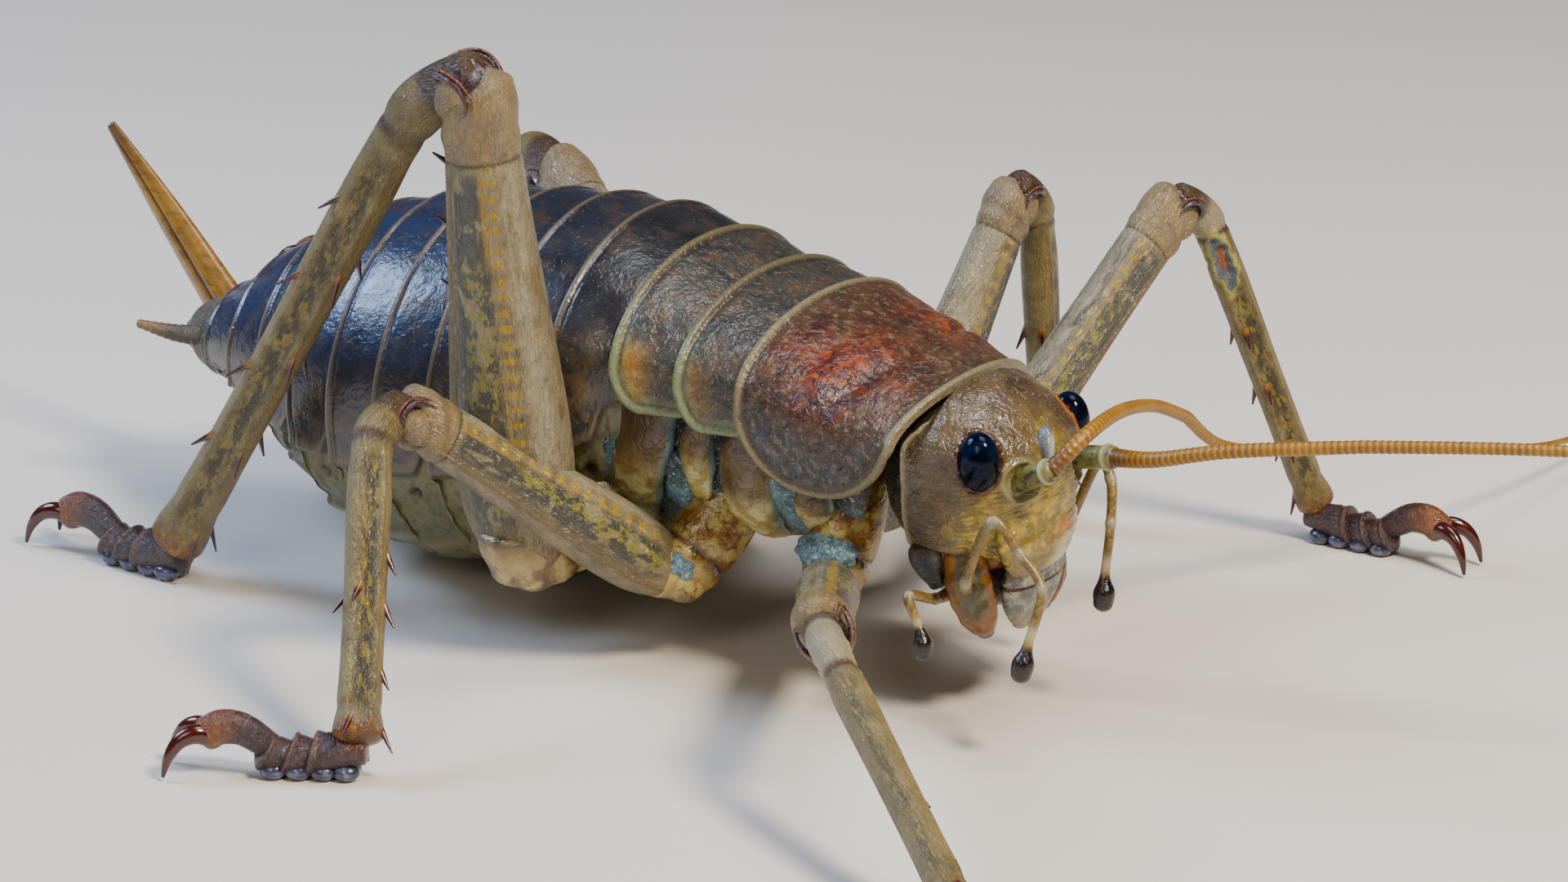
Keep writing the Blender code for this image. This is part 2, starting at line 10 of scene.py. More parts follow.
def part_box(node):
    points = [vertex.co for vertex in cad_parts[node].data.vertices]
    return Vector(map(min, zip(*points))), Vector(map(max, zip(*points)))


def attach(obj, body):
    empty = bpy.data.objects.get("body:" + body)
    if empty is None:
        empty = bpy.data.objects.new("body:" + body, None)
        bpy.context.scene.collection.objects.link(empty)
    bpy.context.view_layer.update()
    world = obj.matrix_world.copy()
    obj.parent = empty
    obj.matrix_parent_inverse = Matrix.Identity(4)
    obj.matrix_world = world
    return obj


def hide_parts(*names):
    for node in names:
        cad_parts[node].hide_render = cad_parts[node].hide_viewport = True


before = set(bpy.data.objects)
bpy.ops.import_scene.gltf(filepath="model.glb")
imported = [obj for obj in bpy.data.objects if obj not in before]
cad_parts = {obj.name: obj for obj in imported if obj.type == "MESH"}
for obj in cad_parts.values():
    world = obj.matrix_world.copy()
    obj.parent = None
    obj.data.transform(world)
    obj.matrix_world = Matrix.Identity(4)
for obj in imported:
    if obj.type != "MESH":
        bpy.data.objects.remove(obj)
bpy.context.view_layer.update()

# A wetapunga, a live adult female giant weta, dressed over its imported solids.
# Sizes are millimetres in the animal's own frame: head toward -Y, its left toward +X, floor at 0.
bodyFront, bodyRear = 25.1, 62.6   # where the abdomen starts and ends
low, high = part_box("abdomen_1")
frameShift = np.array([(low[0] + high[0]) * 500, low[1] * 1000 - bodyFront, 0.0])


def toFrame(points):
    # Millimetres in the animal's own frame as metres in the part's frame.
    return (np.asarray(points, float) + frameShift) * 0.001


# Angles are degrees; an azimuth of 0 looks at the head from the front.
view = {
    "azimuth": -57.5, "elevation": 19.0, "roll": 0.9, "distance": 281.5,
    "target": (0.45, 19.0, 12.9), "fieldOfView": 19.94, "sensor": 36.0,
}


def backward(turn, rise):
    # The direction from the subject to a camera or lamp at this azimuth and elevation.
    return Vector((math.sin(turn) * math.cos(rise), -math.cos(turn) * math.cos(rise), math.sin(rise)))


def setCamera():
    turn, rise, roll = (math.radians(view[k]) for k in ("azimuth", "elevation", "roll"))
    back = backward(turn, rise)
    right = Vector((math.cos(turn), math.sin(turn), 0))
    up = back.cross(right)
    side = right * math.cos(roll) + up * math.sin(roll)
    top = -right * math.sin(roll) + up * math.cos(roll)
    lens = bpy.data.cameras.new("photoView")
    lens.sensor_width = view["sensor"]
    lens.lens = view["sensor"] / 2 / math.tan(math.radians(view["fieldOfView"]) / 2)
    lens.clip_start, lens.clip_end = 0.01, 10
    camera = bpy.data.objects.new("photoView", lens)
    bpy.context.collection.objects.link(camera)
    place = toFrame(Vector(view["target"]) + back * view["distance"])
    rows = [(side[k], top[k], back[k], place[k]) for k in range(3)]
    camera.matrix_world = Matrix((*rows, (0, 0, 0, 1)))
    bpy.context.scene.camera = camera


setCamera()
print("camera set")

# Round soft lamps: name, azimuth, elevation, distance, size, power, colour.
lights = (
    ("keyBox", -14, 50, 360, 80, 1.6, "#fff1dc"),
    ("frontBox", -84, 34, 360, 130, 0.2, "#fffaf2"),
    ("overBox", 30, 78, 340, 180, 0.5, "#f6f8ff"),
    ("skyBox", -158, 40, 340, 150, 1.1, "#b9d4ff"),
)
room = {"middle": (0, 22, 10), "colour": "#e9ecef", "strength": 0.09}


def linear(shade):
    # An sRGB hex colour as linear values.
    parts = [int(shade[k:k + 2], 16) / 255 for k in (1, 3, 5)]
    return (*[v / 12.92 if v <= 0.04045 else ((v + 0.055) / 1.055) ** 2.4 for v in parts], 1.0)


def setLights():
    for name, turn, rise, distance, size, power, shade in lights:
        back = backward(math.radians(turn), math.radians(rise))
        lamp = bpy.data.lights.new(name, "AREA")
        lamp.shape = "DISK"
        lamp.size = size * 0.001
        lamp.energy = power
        lamp.color = linear(shade)[:3]
        item = bpy.data.objects.new(name, lamp)
        item.location = toFrame(Vector(room["middle"]) + back * distance)
        item.rotation_euler = back.to_track_quat("Z", "Y").to_euler()
        bpy.context.collection.objects.link(item)
    world = bpy.data.worlds.new("paleRoom")
    world.use_nodes = True
    sky = world.node_tree.nodes["Background"]
    sky.inputs["Color"].default_value = linear(room["colour"])
    sky.inputs["Strength"].default_value = room["strength"]
    bpy.context.scene.world = world


setLights()


def add(tree, kind, inputs=None, **settings):
    # One node with its settings, values and links.
    made = tree.nodes.new("ShaderNode" + kind)
    for name, value in settings.items():
        setattr(made, name, value)
    for name, value in (inputs or {}).items():
        if isinstance(value, bpy.types.NodeSocket):
            tree.links.new(value, made.inputs[name])
        else:
            made.inputs[name].default_value = value
    return made


def perGrain(size):
    # What to multiply millimetres by, so that one grain of this size has the length 1.
    return tuple(1 / s for s in (size if isinstance(size, tuple) else (size,) * 3))


def amountOf(tree, spaces, mask, strength, grain, more):
    # How much of a layer shows at each point: its mask, its grain and its ticks multiplied.
    amount = add(tree, "Attribute", attribute_name=mask).outputs["Fac"] if mask else None
    parts = []
    if grain:
        size, above, soft = grain
        spot = add(tree, "VectorMath", {0: spaces[more.get("space", "body")], 1: perGrain(size)},
                   operation="MULTIPLY")
        noise = add(tree, "TexNoise", {"Vector": spot.outputs[0], "Scale": 1.0,
                                       "Detail": more.get("detail", 3.0), "Roughness": 0.55,
                                       "Distortion": more.get("swirl", 0.0)})
        parts.append((noise.outputs["Fac"], above, soft))
    if "ticks" in more:
        # Short ragged ticks along the leg: their spacing and the level from which they show.
        spacing, above = more["ticks"]
        split = add(tree, "SeparateXYZ", {0: spaces["leg"]})
        waver = add(tree, "TexNoise", {"Vector": spaces["leg"], "Scale": 0.9, "Detail": 1.0})
        drift = add(tree, "Math", {0: waver.outputs["Fac"], 1: 1.1}, operation="MULTIPLY")
        count = add(tree, "Math", {0: split.outputs[0], 1: 1 / spacing, 2: drift.outputs[0]},
                    operation="MULTIPLY_ADD")
        swing = add(tree, "Math", {0: count.outputs[0], 1: 1.0}, operation="PINGPONG")
        frayed = add(tree, "TexNoise", {"Vector": spaces["leg"], "Scale": 2.6, "Detail": 2.0})
        ragged = add(tree, "Math", {0: frayed.outputs["Fac"], 1: 0.9, 2: swing.outputs[0]},
                     operation="MULTIPLY_ADD")
        parts.append((ragged.outputs[0], above, 0.1))
    for value, above, soft in parts:
        step = add(tree, "MapRange", {"Value": value, "From Min": above - soft,
                                      "From Max": above + soft}, interpolation_type="SMOOTHSTEP")
        if amount is None:
            amount = step.outputs[0]
        else:
            amount = add(tree, "Math", {0: amount, 1: step.outputs[0]}, operation="MULTIPLY").outputs[0]
    return add(tree, "Math", {0: amount, 1: strength}, operation="MULTIPLY", use_clamp=True).outputs[0]


cuticleBase = {
    "contrast": (0.36, 0.64), "glossSpread": (-0.06, 0.08),   # of the patches of two tones
    "ior": 1.54, "specular": 0.5, "coatRoughness": 0.2, "soft": 0.0, "swirl": 0.3,
    "creaseHalf": 0.16, "creaseGain": 6,
    "scatterRadius": (1.0, 0.6, 0.35), "scatterScale": 0.0006,
}


def cuticle(name, look):
    # Insect cuticle: two tones in patches, layers of marks over them, and a fine surface relief.
    # A layer is its mask or None, colour and strength, then where a noise breaks it up the size
    # of a grain, the level from which it shows and its softness, then a dictionary with the rest.
    # A relief is the size of a grain, its height and its kind.
    look = {**cuticleBase, **look}
    material = bpy.data.materials.new(name)
    material.use_nodes = True
    tree = material.node_tree
    surface = tree.nodes["Principled BSDF"]
    metres = add(tree, "TexCoord").outputs["Object"]
    body = add(tree, "VectorMath", {0: metres, 1: (1000, 1000, 1000)}, operation="MULTIPLY").outputs[0]
    leg = add(tree, "Attribute", attribute_name="leg").outputs["Vector"]
    spaces = {"body": body, "leg": leg}
    tones = add(tree, "TexNoise", {"Vector": body, "Scale": 1 / look["patch"], "Detail": 6.0,
                                   "Roughness": 0.62, "Distortion": look["swirl"]})
    least, most = look["contrast"]
    spread = add(tree, "MapRange", {"Value": tones.outputs["Fac"], "From Min": least, "From Max": most})
    colour = add(tree, "Mix", {"Factor": spread.outputs[0], "A": linear(look["tones"][0]),
                               "B": linear(look["tones"][1])}, data_type="RGBA").outputs["Result"]
    least, most = (look["roughness"] + part for part in look["glossSpread"])
    grainy = add(tree, "TexNoise", {"Vector": body, "Scale": 2.6 / look["patch"], "Detail": 4.0})
    gloss = add(tree, "MapRange", {"Value": grainy.outputs["Fac"], "From Min": 0.3, "From Max": 0.7,
                                   "To Min": least, "To Max": most}).outputs[0]
    for mask, shade, strength, *grain in look["layers"]:
        more = grain.pop() if grain and isinstance(grain[-1], dict) else {}
        amount = amountOf(tree, spaces, mask, strength, grain, more)
        colour = add(tree, "Mix", {"Factor": amount, "A": colour, "B": linear(shade)},
                     data_type="RGBA").outputs["Result"]
        if "roughness" in more:
            gloss = add(tree, "Mix", {"Factor": amount, "A": gloss, "B": more["roughness"]},
                        data_type="FLOAT").outputs["Result"]
    height = None
    for size, deep, kind in look["relief"]:
        source = leg if kind.startswith("leg") else body
        spot = add(tree, "VectorMath", {0: source, 1: perGrain(size)}, operation="MULTIPLY").outputs[0]
        if kind.endswith("pits"):
            field = add(tree, "TexVoronoi", {"Vector": spot, "Scale": 1.0}).outputs["Distance"]
        else:
            field = add(tree, "TexNoise", {"Vector": spot, "Scale": 1.0, "Detail": 3.0,
                                           "Roughness": 0.55, "Distortion": 0.5}).outputs["Fac"]
        if kind.endswith("creases"):
            away = add(tree, "Math", {0: field, 1: 0.5}, operation="SUBTRACT").outputs[0]
            field = add(tree, "Math", {0: away}, operation="ABSOLUTE").outputs[0]
            field = add(tree, "Math", {0: field, 1: look["creaseHalf"]}, operation="MINIMUM").outputs[0]
            deep *= look["creaseGain"]
        tall = add(tree, "Math", {0: field, 1: deep}, operation="MULTIPLY").outputs[0]
        height = tall if height is None else add(tree, "Math", {0: height, 1: tall}).outputs[0]
    bump = add(tree, "Bump", {"Height": height, "Distance": 0.001, "Strength": 1.0})
    for source, name in ((colour, "Base Color"), (gloss, "Roughness"), (bump.outputs[0], "Normal"),
                         (bump.outputs[0], "Coat Normal")):
        tree.links.new(source, surface.inputs[name])
    surface.inputs["IOR"].default_value = look["ior"]
    surface.inputs["Specular IOR Level"].default_value = look["specular"]
    surface.inputs["Coat Weight"].default_value = look["coat"]
    surface.inputs["Coat Roughness"].default_value = look["coatRoughness"]
    surface.inputs["Subsurface Weight"].default_value = look["soft"]
    surface.inputs["Subsurface Radius"].default_value = look["scatterRadius"]
    surface.inputs["Subsurface Scale"].default_value = look["scatterScale"]
    return material


floorLook = {"size": 3.0, "tones": ("#dfd7cc", "#e4ddd3"), "roughness": 0.85}


def makeFloor():
    half = floorLook["size"] / 2
    mesh = bpy.data.meshes.new("floor")
    mesh.from_pydata([(-half, -half, 0), (half, -half, 0), (half, half, 0), (-half, half, 0)], [],
                     [(0, 1, 2, 3)])
    floor = bpy.data.objects.new("floor", mesh)
    bpy.context.collection.objects.link(floor)
    # Matt painted board: a pale ground with a faint cloudiness.
    material = bpy.data.materials.new("matt painted board")
    material.use_nodes = True
    tree = material.node_tree
    surface = tree.nodes["Principled BSDF"]
    place = add(tree, "TexCoord").outputs["Object"]
    cloud = add(tree, "TexNoise", {"Vector": place, "Scale": 9.0, "Detail": 3.0})
    first, second = (linear(tone) for tone in floorLook["tones"])
    shade = add(tree, "Mix", {"Factor": cloud.outputs["Fac"], "A": first, "B": second},
                data_type="RGBA")
    tree.links.new(shade.outputs["Result"], surface.inputs["Base Color"])
    surface.inputs["Roughness"].default_value = floorLook["roughness"]
    mesh.materials.append(material)


makeFloor()
print("light and floor set")

sharpAngle = 65   # degrees from which an edge stays sharp
fineSteps = 24    # points between two stops of a limb
domeBends = (86, 78, 68, 57, 45, 33, 21, 10)   # degrees of the rings of a rounded end


def smooth(rows, steps=fineSteps):
    # Catmull-Rom through rows of numbers, with this many steps for each span.
    result = []
    for index in range(len(rows) - 1):
        p, q = rows[max(index - 1, 0)], rows[index]
        r, s = rows[index + 1], rows[min(index + 2, len(rows) - 1)]
        for step in range(steps):
            t = step / steps
            result.append([0.5 * (2 * b + (c - a) * t + (2 * a - 5 * b + 4 * c - d) * t * t
                                  + (3 * b - a - 3 * c + d) * t ** 3)
                           for a, b, c, d in zip(p, q, r, s)])
    result.append(list(rows[-1]))
    return np.array(result)


def ripple(points, size, seed=0):
    # Smooth value noise from -1 to 1, with its grain in millimetres.
    spot = np.asarray(points) / np.asarray(size) + seed * 17.31 + 400
    cell = np.floor(spot).astype(np.int64)
    part = spot - cell
    part = part * part * (3 - 2 * part)
    total = np.zeros(spot.shape[:-1])
    for corner in range(8):
        step = np.array([corner & 1, corner >> 1 & 1, corner >> 2 & 1])
        key = (cell + step) @ np.array([73856093, 19349663, 83492791])
        key = ((key ^ (key >> 13)) * 1274126177) & 0x7FFFFFFF
        total += np.prod(np.where(step, part, 1 - part), axis=-1) * ((key >> 8 & 0xFFFF) / 32767.5 - 1)
    return total


def ease(value, start, end):
    # 0 before start, 1 after end, smooth between.
    share = np.clip((value - start) / (end - start), 0, 1)
    return share * share * (3 - 2 * share)


def hump(value, middle, width):
    # 1 at the middle, falling off on both sides over this width.
    return np.exp(-((value - middle) / width) ** 2)


def travelled(points):
    # The length of a path from its start to each of its points.
    return np.concatenate([[0], np.cumsum(np.linalg.norm(np.diff(points, axis=0), axis=1))])


def outward(grid, closed=True):
    # Unit normals of a grid of points, turned away from its middle.
    across = np.roll(grid, -1, 1) - np.roll(grid, 1, 1) if closed else np.gradient(grid, axis=1)
    normal = np.cross(across, np.gradient(grid, axis=0))
    normal /= np.maximum(np.linalg.norm(normal, axis=2, keepdims=True), 1e-9)
    away = grid - grid.reshape(-1, 3).mean(0)
    return normal if (away * normal).sum() > 0 else -normal


def shell(grid, masks, capped=True, finish=0):
    # A part of a piece: rings of points as faces, with its masks and its finish's number.
    rows, cols = grid.shape[:2]
    index = np.arange(rows * cols).reshape(rows, cols)
    after = np.roll(index, -1, 1)
    quads = np.stack([index[:-1], after[:-1], after[1:], index[1:]], -1).reshape(-1, 4)
    points = grid.reshape(-1, 3)
    away = points - points.mean(0)
    a, b, c, d = (away[quads[:, k]] for k in range(4))
    inside = (np.cross(b - a, d - a) * (a + c)).sum() < 0
    faces = quads.tolist()
    if capped:
        faces += [index[0][::-1].tolist(), index[-1].tolist()]
    if inside:
        faces = [face[::-1] for face in faces]
    flat = {}
    for name, value in masks.items():
        if name == "leg":
            flat[name] = value.reshape(-1, 3)
        else:
            flat[name] = np.broadcast_to(value, (rows, cols)).reshape(-1, 1)
    return {"points": points, "faces": faces, "masks": flat, "finish": finish}


def piece(name, parts, finishes, slot, *nodes):
    # One object from its parts, riding on the body in place of its nodes.
    points = np.concatenate([part["points"] for part in parts])
    faces, finish, start = [], [], 0
    for part in parts:
        faces += [[k + start for k in face] for face in part["faces"]]
        finish += [part["finish"]] * len(part["faces"])
        start += len(part["points"])
    mesh = bpy.data.meshes.new(name)
    mesh.from_pydata(toFrame(points).tolist(), [], faces)
    for label in sorted({key for part in parts for key in part["masks"]}):
        deep = 3 if label == "leg" else 1
        values = [part["masks"].get(label, np.zeros((len(part["points"]), deep))) for part in parts]
        made = mesh.attributes.new(label, "FLOAT_VECTOR" if deep == 3 else "FLOAT", "POINT")
        made.data.foreach_set("vector" if deep == 3 else "value", np.concatenate(values).ravel())
    for material in finishes:
        mesh.materials.append(material)
    mesh.polygons.foreach_set("material_index", finish)
    mesh.shade_smooth()
    mesh.set_sharp_from_angle(angle=math.radians(sharpAngle))
    item = bpy.data.objects.new(name, mesh)
    bpy.context.collection.objects.link(item)
    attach(item, "root")
    if nodes:
        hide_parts(*nodes)


def tube(stops, side, rows, sides, domes=(0.0, 0.0), relief=None, masks=None, finish=0, least=None,
         slide=None):
    # A limb along smooth stops of x, y, z, half width and half height, the same where it isn't
    # given. domes are the lengths of its rounded ends in half widths. relief and masks are
    # called with the share along, the turn about the axis and the millimetres along.
    # slide gives the millimetres that a point moves along the limb.
    fine = smooth([row if len(row) == 5 else (*row, row[3]) for row in stops])
    length = travelled(fine[:, :3])
    even = np.linspace(0, length[-1], rows)
    path = np.stack([np.interp(even, length, fine[:, k]) for k in range(5)], 1)
    tangent = np.gradient(path[:, :3], axis=0)
    tangent /= np.linalg.norm(tangent, axis=1, keepdims=True)
    centre, size, along = path[:, :3], path[:, 3:], even
    for end, sign in ((0, -1), (-1, 1)):
        if not domes[end]:
            continue
        bends = np.radians(domeBends)[::-sign]
        reach = sign * size[end, 0] * domes[end]
        dome = (centre[end] + tangent[end] * reach * np.sin(bends)[:, None],
                size[end] * np.cos(bends)[:, None], along[end] + reach * np.sin(bends),
                np.repeat(tangent[end][None], len(bends), 0))
        centre, size, along, tangent = (np.concatenate([old, new][::sign]) for old, new
                                        in zip((centre, size, along, tangent), dome))
    side = np.asarray(side, float)
    across = side - tangent * (tangent @ side)[:, None]
    across /= np.linalg.norm(across, axis=1, keepdims=True)
    upward = np.cross(across, tangent)
    turn = 2 * math.pi * (np.arange(sides) + 0.5)[None] / sides
    share = (along / length[-1])[:, None]
    cos, sin = np.cos(turn)[..., None], np.sin(turn)[..., None]
    ring = across[:, None] * size[:, None, :1] * cos + upward[:, None] * size[:, None, 1:] * sin
    away = across[:, None] * cos + upward[:, None] * sin
    if relief:
        ring = ring + away * relief(share, turn, along[:, None])[..., None]
    grid = centre[:, None] + ring
    if slide:
        grid = grid + tangent[:, None] * slide(share, turn)[..., None]
    if least is not None:
        grid[..., 2] = np.maximum(grid[..., 2], least)
    marks = masks(share, turn, along[:, None]) if masks else {}
    flesh = np.stack(np.broadcast_arrays(along[:, None], size[:, :1] * cos[..., 0],
                                         size[:, 1:] * sin[..., 0]), -1)
    return shell(grid, {"leg": flesh, **marks}, finish=finish)


def ball(centre, axes, rows, cols, relief=None, masks=None, finish=0, least=None):
    # An ellipsoid on three axis vectors; the third is its pole. relief and masks are called with
    # the angle from the pole and the turn about it.
    a, b, c = (np.asarray(axis, float) for axis in axes)
    tilt = np.linspace(0.02, math.pi - 0.02, rows)[:, None, None]
    spin = (2 * math.pi * np.arange(cols) / cols)[None, :, None]
    unit = a * np.sin(tilt) * np.cos(spin) + b * np.sin(tilt) * np.sin(spin) + c * np.cos(tilt)
    if relief:
        unit = unit * (1 + relief(tilt[..., 0], spin[..., 0])[..., None])
    grid = np.asarray(centre, float) + unit
    if least is not None:
        grid[..., 2] = np.maximum(grid[..., 2], least)
    marks = masks(tilt[..., 0], spin[..., 0]) if masks else {}
    return shell(grid, {"leg": unit, **marks}, finish=finish)


headLook = {
    "shift": (-2.0, 0.0, 0.0), "turn": -3.5,
    "stations": (   # level, half width, front, back
        (9.3, 3.6, 1.0, 5.6), (10.6, 5.0, -0.4, 7.0), (12.6, 5.8, -1.6, 8.4), (15.2, 6.2, -2.3, 9.0),
        (17.6, 6.2, -1.9, 9.0), (19.2, 5.2, -0.5, 8.2), (20.2, 3.8, 0.8, 6.6), (20.75, 2.2, 1.9, 5.2),
        (20.95, 0.9, 2.8, 4.2), (20.97, 0.2, 3.3, 3.7),
    ),
    "roundness": (0.88, 0.94),   # of its sections, across and along; 1 is an ellipse
    "rows": 260, "cols": 260,
    # x, y, level, half width and half thickness of the shield above the lip.
    "clypeus": ((0, -0.6, 12.8, 4.3, 1.3), (0, -0.9, 11.6, 4.4, 1.25), (0, -1.0, 10.4, 3.7, 1.0),
                (0, -0.8, 9.4, 2.8, 0.7)),
    "brow": (-0.8, -1.8, 17.7), "browAxes": ((0.75, 0.1, 0), (0, -0.55, 0.1), (0.2, 0.25, 1.15)),
    "wrinkles": 0.37,   # from one to the next
    "sockets": ((2.4, 16.0), (-3.1, 16.0)), "eye": (4.95, 0.3, 17.3), "eyeHalf": (1.15, 1.35, 1.85),
}

# Sclerotised cuticle of the head: tanned brown to gold, wrinkled, with a waxy lustre.
headCuticle = cuticle("sclerotised head cuticle", {
    "tones": ("#3c2f1b", "#645030"), "patch": 2.2, "roughness": 0.27, "coat": 0.45,
    "coatRoughness": 0.08,
    "layers": (
        (None, "#443442", 0.5, 1.1, 0.56, 0.08), ("cheek", "#5f4f36", 0.7, 1.6, 0.5, 0.12),
        ("gold", "#7c681a", 0.9), ("gold", "#b89c34", 0.85, 0.9, 0.54, 0.1),
        ("cream", "#c4bc8e", 0.9), ("spot", "#c06c00", 0.95),
        ("lowRim", "#803400", 0.9, {"roughness": 0.2}),
        ("socket", "#857d4c", 0.8), ("brow", "#687078", 0.9),
        ("browTop", "#adb0aa", 0.9, {"roughness": 0.2}),
        ("eyeRing", "#431613", 0.9), ("crown", "#c2b088", 0.7, 0.16, 0.66, 0.05),
        # The neck layer is painted shade: a dark band behind the hind rim, where the head goes under the
        # neck shield.
        ("hindEdge", "#a1977a", 0.9), ("neck", "#271f18", 0.9),
        (None, "#281f1b", 0.6, 0.22, 0.72, 0.03),
    ),
    "relief": ((0.7, 0.04, "creases"), ((0.9, 0.9, 0.2), 0.05, "noise"), (0.16, 0.006, "noise")),
})


def headPlace(points):
    # Points of the upright head where the turned head has them.
    points = np.asarray(points, float)
    turn = math.radians(headLook["turn"])
    x, y, z = points[..., 0], points[..., 1], points[..., 2]
    return np.stack([x * math.cos(turn) - y * math.sin(turn),
                     x * math.sin(turn) + y * math.cos(turn), z], -1) + np.array(headLook["shift"])


def headStops(rows, direction=1):
    # Stops of a tube from rows of x, y, z and sizes in the head's own place.
    return [(*headPlace((direction * x, y, z)), *sizes) for x, y, z, *sizes in rows]


def makeHead():
    fine = smooth(headLook["stations"])
    length = travelled(fine[:, :3])
    even = np.linspace(0, length[-1], headLook["rows"])
    level, half, front, back = (np.interp(even, length, fine[:, k])[:, None] for k in range(4))
    turn = 2 * math.pi * np.arange(headLook["cols"])[None] / headLook["cols"]
    across, ahead = headLook["roundness"]
    x = half * np.sign(np.cos(turn)) * np.abs(np.cos(turn)) ** across
    y = np.sign(np.sin(turn)) * np.abs(np.sin(turn)) ** ahead
    y = (front + back) / 2 + (back - front) / 2 * y
    z = level + 0 * x
    grid = np.stack([x, y, z], -1)
    ex, ey, ez = headLook["eye"]
    a, b, c = headLook["eyeHalf"]
    apart = np.sqrt(((np.abs(x) - ex) / a) ** 2 + ((y - ey) / b) ** 2 + ((z - ez) / c) ** 2)
    facing = ease(-y, -1.6, 0.4)
    socket = np.full(x.shape, 9.0)
    for sx, sz in headLook["sockets"]:
        socket = np.minimum(socket, np.hypot(x - sx, z - sz) + 9 * (1 - ease(-y, -1.5, 0.3)))
    height = 0.10 * ripple(grid, 2.2, 1) + 0.045 * ripple(grid, 0.8, 2)
    # A rim round each eye and each feeler socket, and the ridge between the sockets.
    height += 0.14 * hump(apart, 1.12, 0.08) - 0.25 * ease(apart, 1.0, 0.8)
    height += 0.26 * hump(socket, 1.2, 0.2) - 0.5 * hump(socket, 0, 0.8)
    height += 0.24 * hump(x, 0, 1.1) * facing * ease(z, 13.5, 14.5) * ease(z, 18, 16.5)
    # A groove down each side of the face, the seam of the crown and the full lower face.
    height -= 0.12 * hump(np.abs(x), 4.3, 0.28) * facing * ease(z, 11.2, 12) * ease(z, 15.6, 14.8)
    height -= 0.06 * hump(x, 0, 0.14) * ease(z, 17.5, 19)
    height += 0.8 * hump(z, 11.6, 1.7) * facing * ease(np.abs(x), 5.0, 3.0)
    face = facing * ease(z, 16.6, 15.0)
    # Fine wrinkles run across the face and fade on the cheeks.
    phase = z - 0.22 * x + 0.34 * ripple(grid, 1.3, 3) + 0.1 * ripple(grid, 0.5, 9)
    phase = phase / headLook["wrinkles"]
    wrinkle = np.sin(2 * math.pi * phase) * (0.75 + 0.5 * ripple(grid, 0.9, 10))
    height += wrinkle * (0.06 * face + 0.03 * (1 - facing) * ease(z, 16.5, 14.0)) * ease(z, 11.2, 11.8)
    height += 0.05 * ripple(grid, (1.3, 1.3, 0.42), 4)
    height += 0.16 * hump(z, 10.25, 0.35) - 0.12 * hump(z, 10.95, 0.25)
    # The back of the crown goes in under the neck shield.
    height -= 1.5 * ease(y, 3.2, 4.8) * ease(z, 17.0, 20.0)
    aside = ease(np.abs(x), 3, 5)
    height += 0.15 * hump(y, 5.0, 0.2) * aside - 0.5 * ease(y, 5.2, 5.8) * aside
    masks = {
        "gold": face * ease(socket, 1.0, 1.6) + 0.6 * hump(z, 12.2, 1.6) * ease(-y, -3.5, -1)
        + 0.8 * hump(np.hypot(x + 0.6, z - 17.2), 0, 1.7) * facing,
        "cheek": 1 - facing,
        "spot": 1.6 * hump(x, 1.7, 1.3) * hump(z, 12.1, 0.6) * facing
        + 0.8 * hump(apart, 1.2, 0.12) * (x > 0) * (x < ex - 0.2),
        "cream": hump(z, 10.9, 1.1) * ease(x, 0.2, 2.0) * facing,
        "lowRim": ease(z, 11.2, 10.5) * ease(x, 2.5, 1.0),
        "socket": hump(socket, 1.15, 0.3) + ease(socket, 1.1, 0.7),
        "eyeRing": hump(apart, 1.08, 0.09),
        "crown": ease(z, 16, 18.5),
        "hindEdge": hump(y, 5.0, 0.2) * aside,
        # neck is painted shade behind the hind rim, under the neck shield.
        "neck": ease(y, 5.2, 5.6) * aside,
    }
    grid = grid + outward(grid) * height[..., None]
    parts = [shell(headPlace(grid), {key: np.clip(value, 0, 1) for key, value in masks.items()})]
    # The pale tubercle of the brow, between the feelers.
    parts.append(ball(headPlace(headLook["brow"]), headLook["browAxes"], 30, 36,
                      lambda tilt, spin: 0.08 * np.cos(3 * spin) * np.sin(tilt),
                      lambda tilt, spin: {"brow": 1.0,
                                          "browTop": ease(np.sin(spin) * np.sin(tilt), 0.6, 0.95)}))
    # The shield above the lip closes the lower face.
    shieldHalf = headLook["clypeus"][0][3]

    def shieldMasks(share, turn, along):
        left = np.cos(turn) * shieldHalf * (1 - 0.3 * ease(share, 0.4, 1))
        return {"gold": ease(share, 0.95, 0.55),
                "cream": ease(share + 0.2 * left, 0.5, 0.95),
                "spot": np.clip(1.6 * hump(left, 1.7, 1.3) * hump(share, 0.2, 0.15), 0, 1),
                "lowRim": 0.7 * hump(share, 0.97, 0.04)}

    parts.append(tube(headStops(headLook["clypeus"]), (1, 0, 0), 80, 110, (0.1, 0.35),
                      lambda share, turn, along: -0.1 * hump(share, 0.62, 0.03)
                      + 0.05 * np.sin(along * 9 + 2 * np.cos(turn)) * ease(share, 0.6, 0.3),
                      shieldMasks))
    piece("head", parts, [headCuticle], "head", "head")


makeHead()

# Faceted cornea: a blue-black gloss over dark pigment, with fine facets.
eyeCornea = cuticle("faceted eye cornea", {
    "tones": ("#010308", "#030a1c"), "patch": 1.6, "roughness": 0.12, "coat": 0.12,
    "coatRoughness": 0.05, "ior": 1.38, "specular": 0.15,
    "layers": (("rind", "#340d08", 0.9), (None, "#071d3f", 0.6, 0.9, 0.55, 0.12)),
    # Facets are really 0.03 mm wide and are drawn three times as wide.
    "relief": ((0.1, 0.002, "pits"),),
})


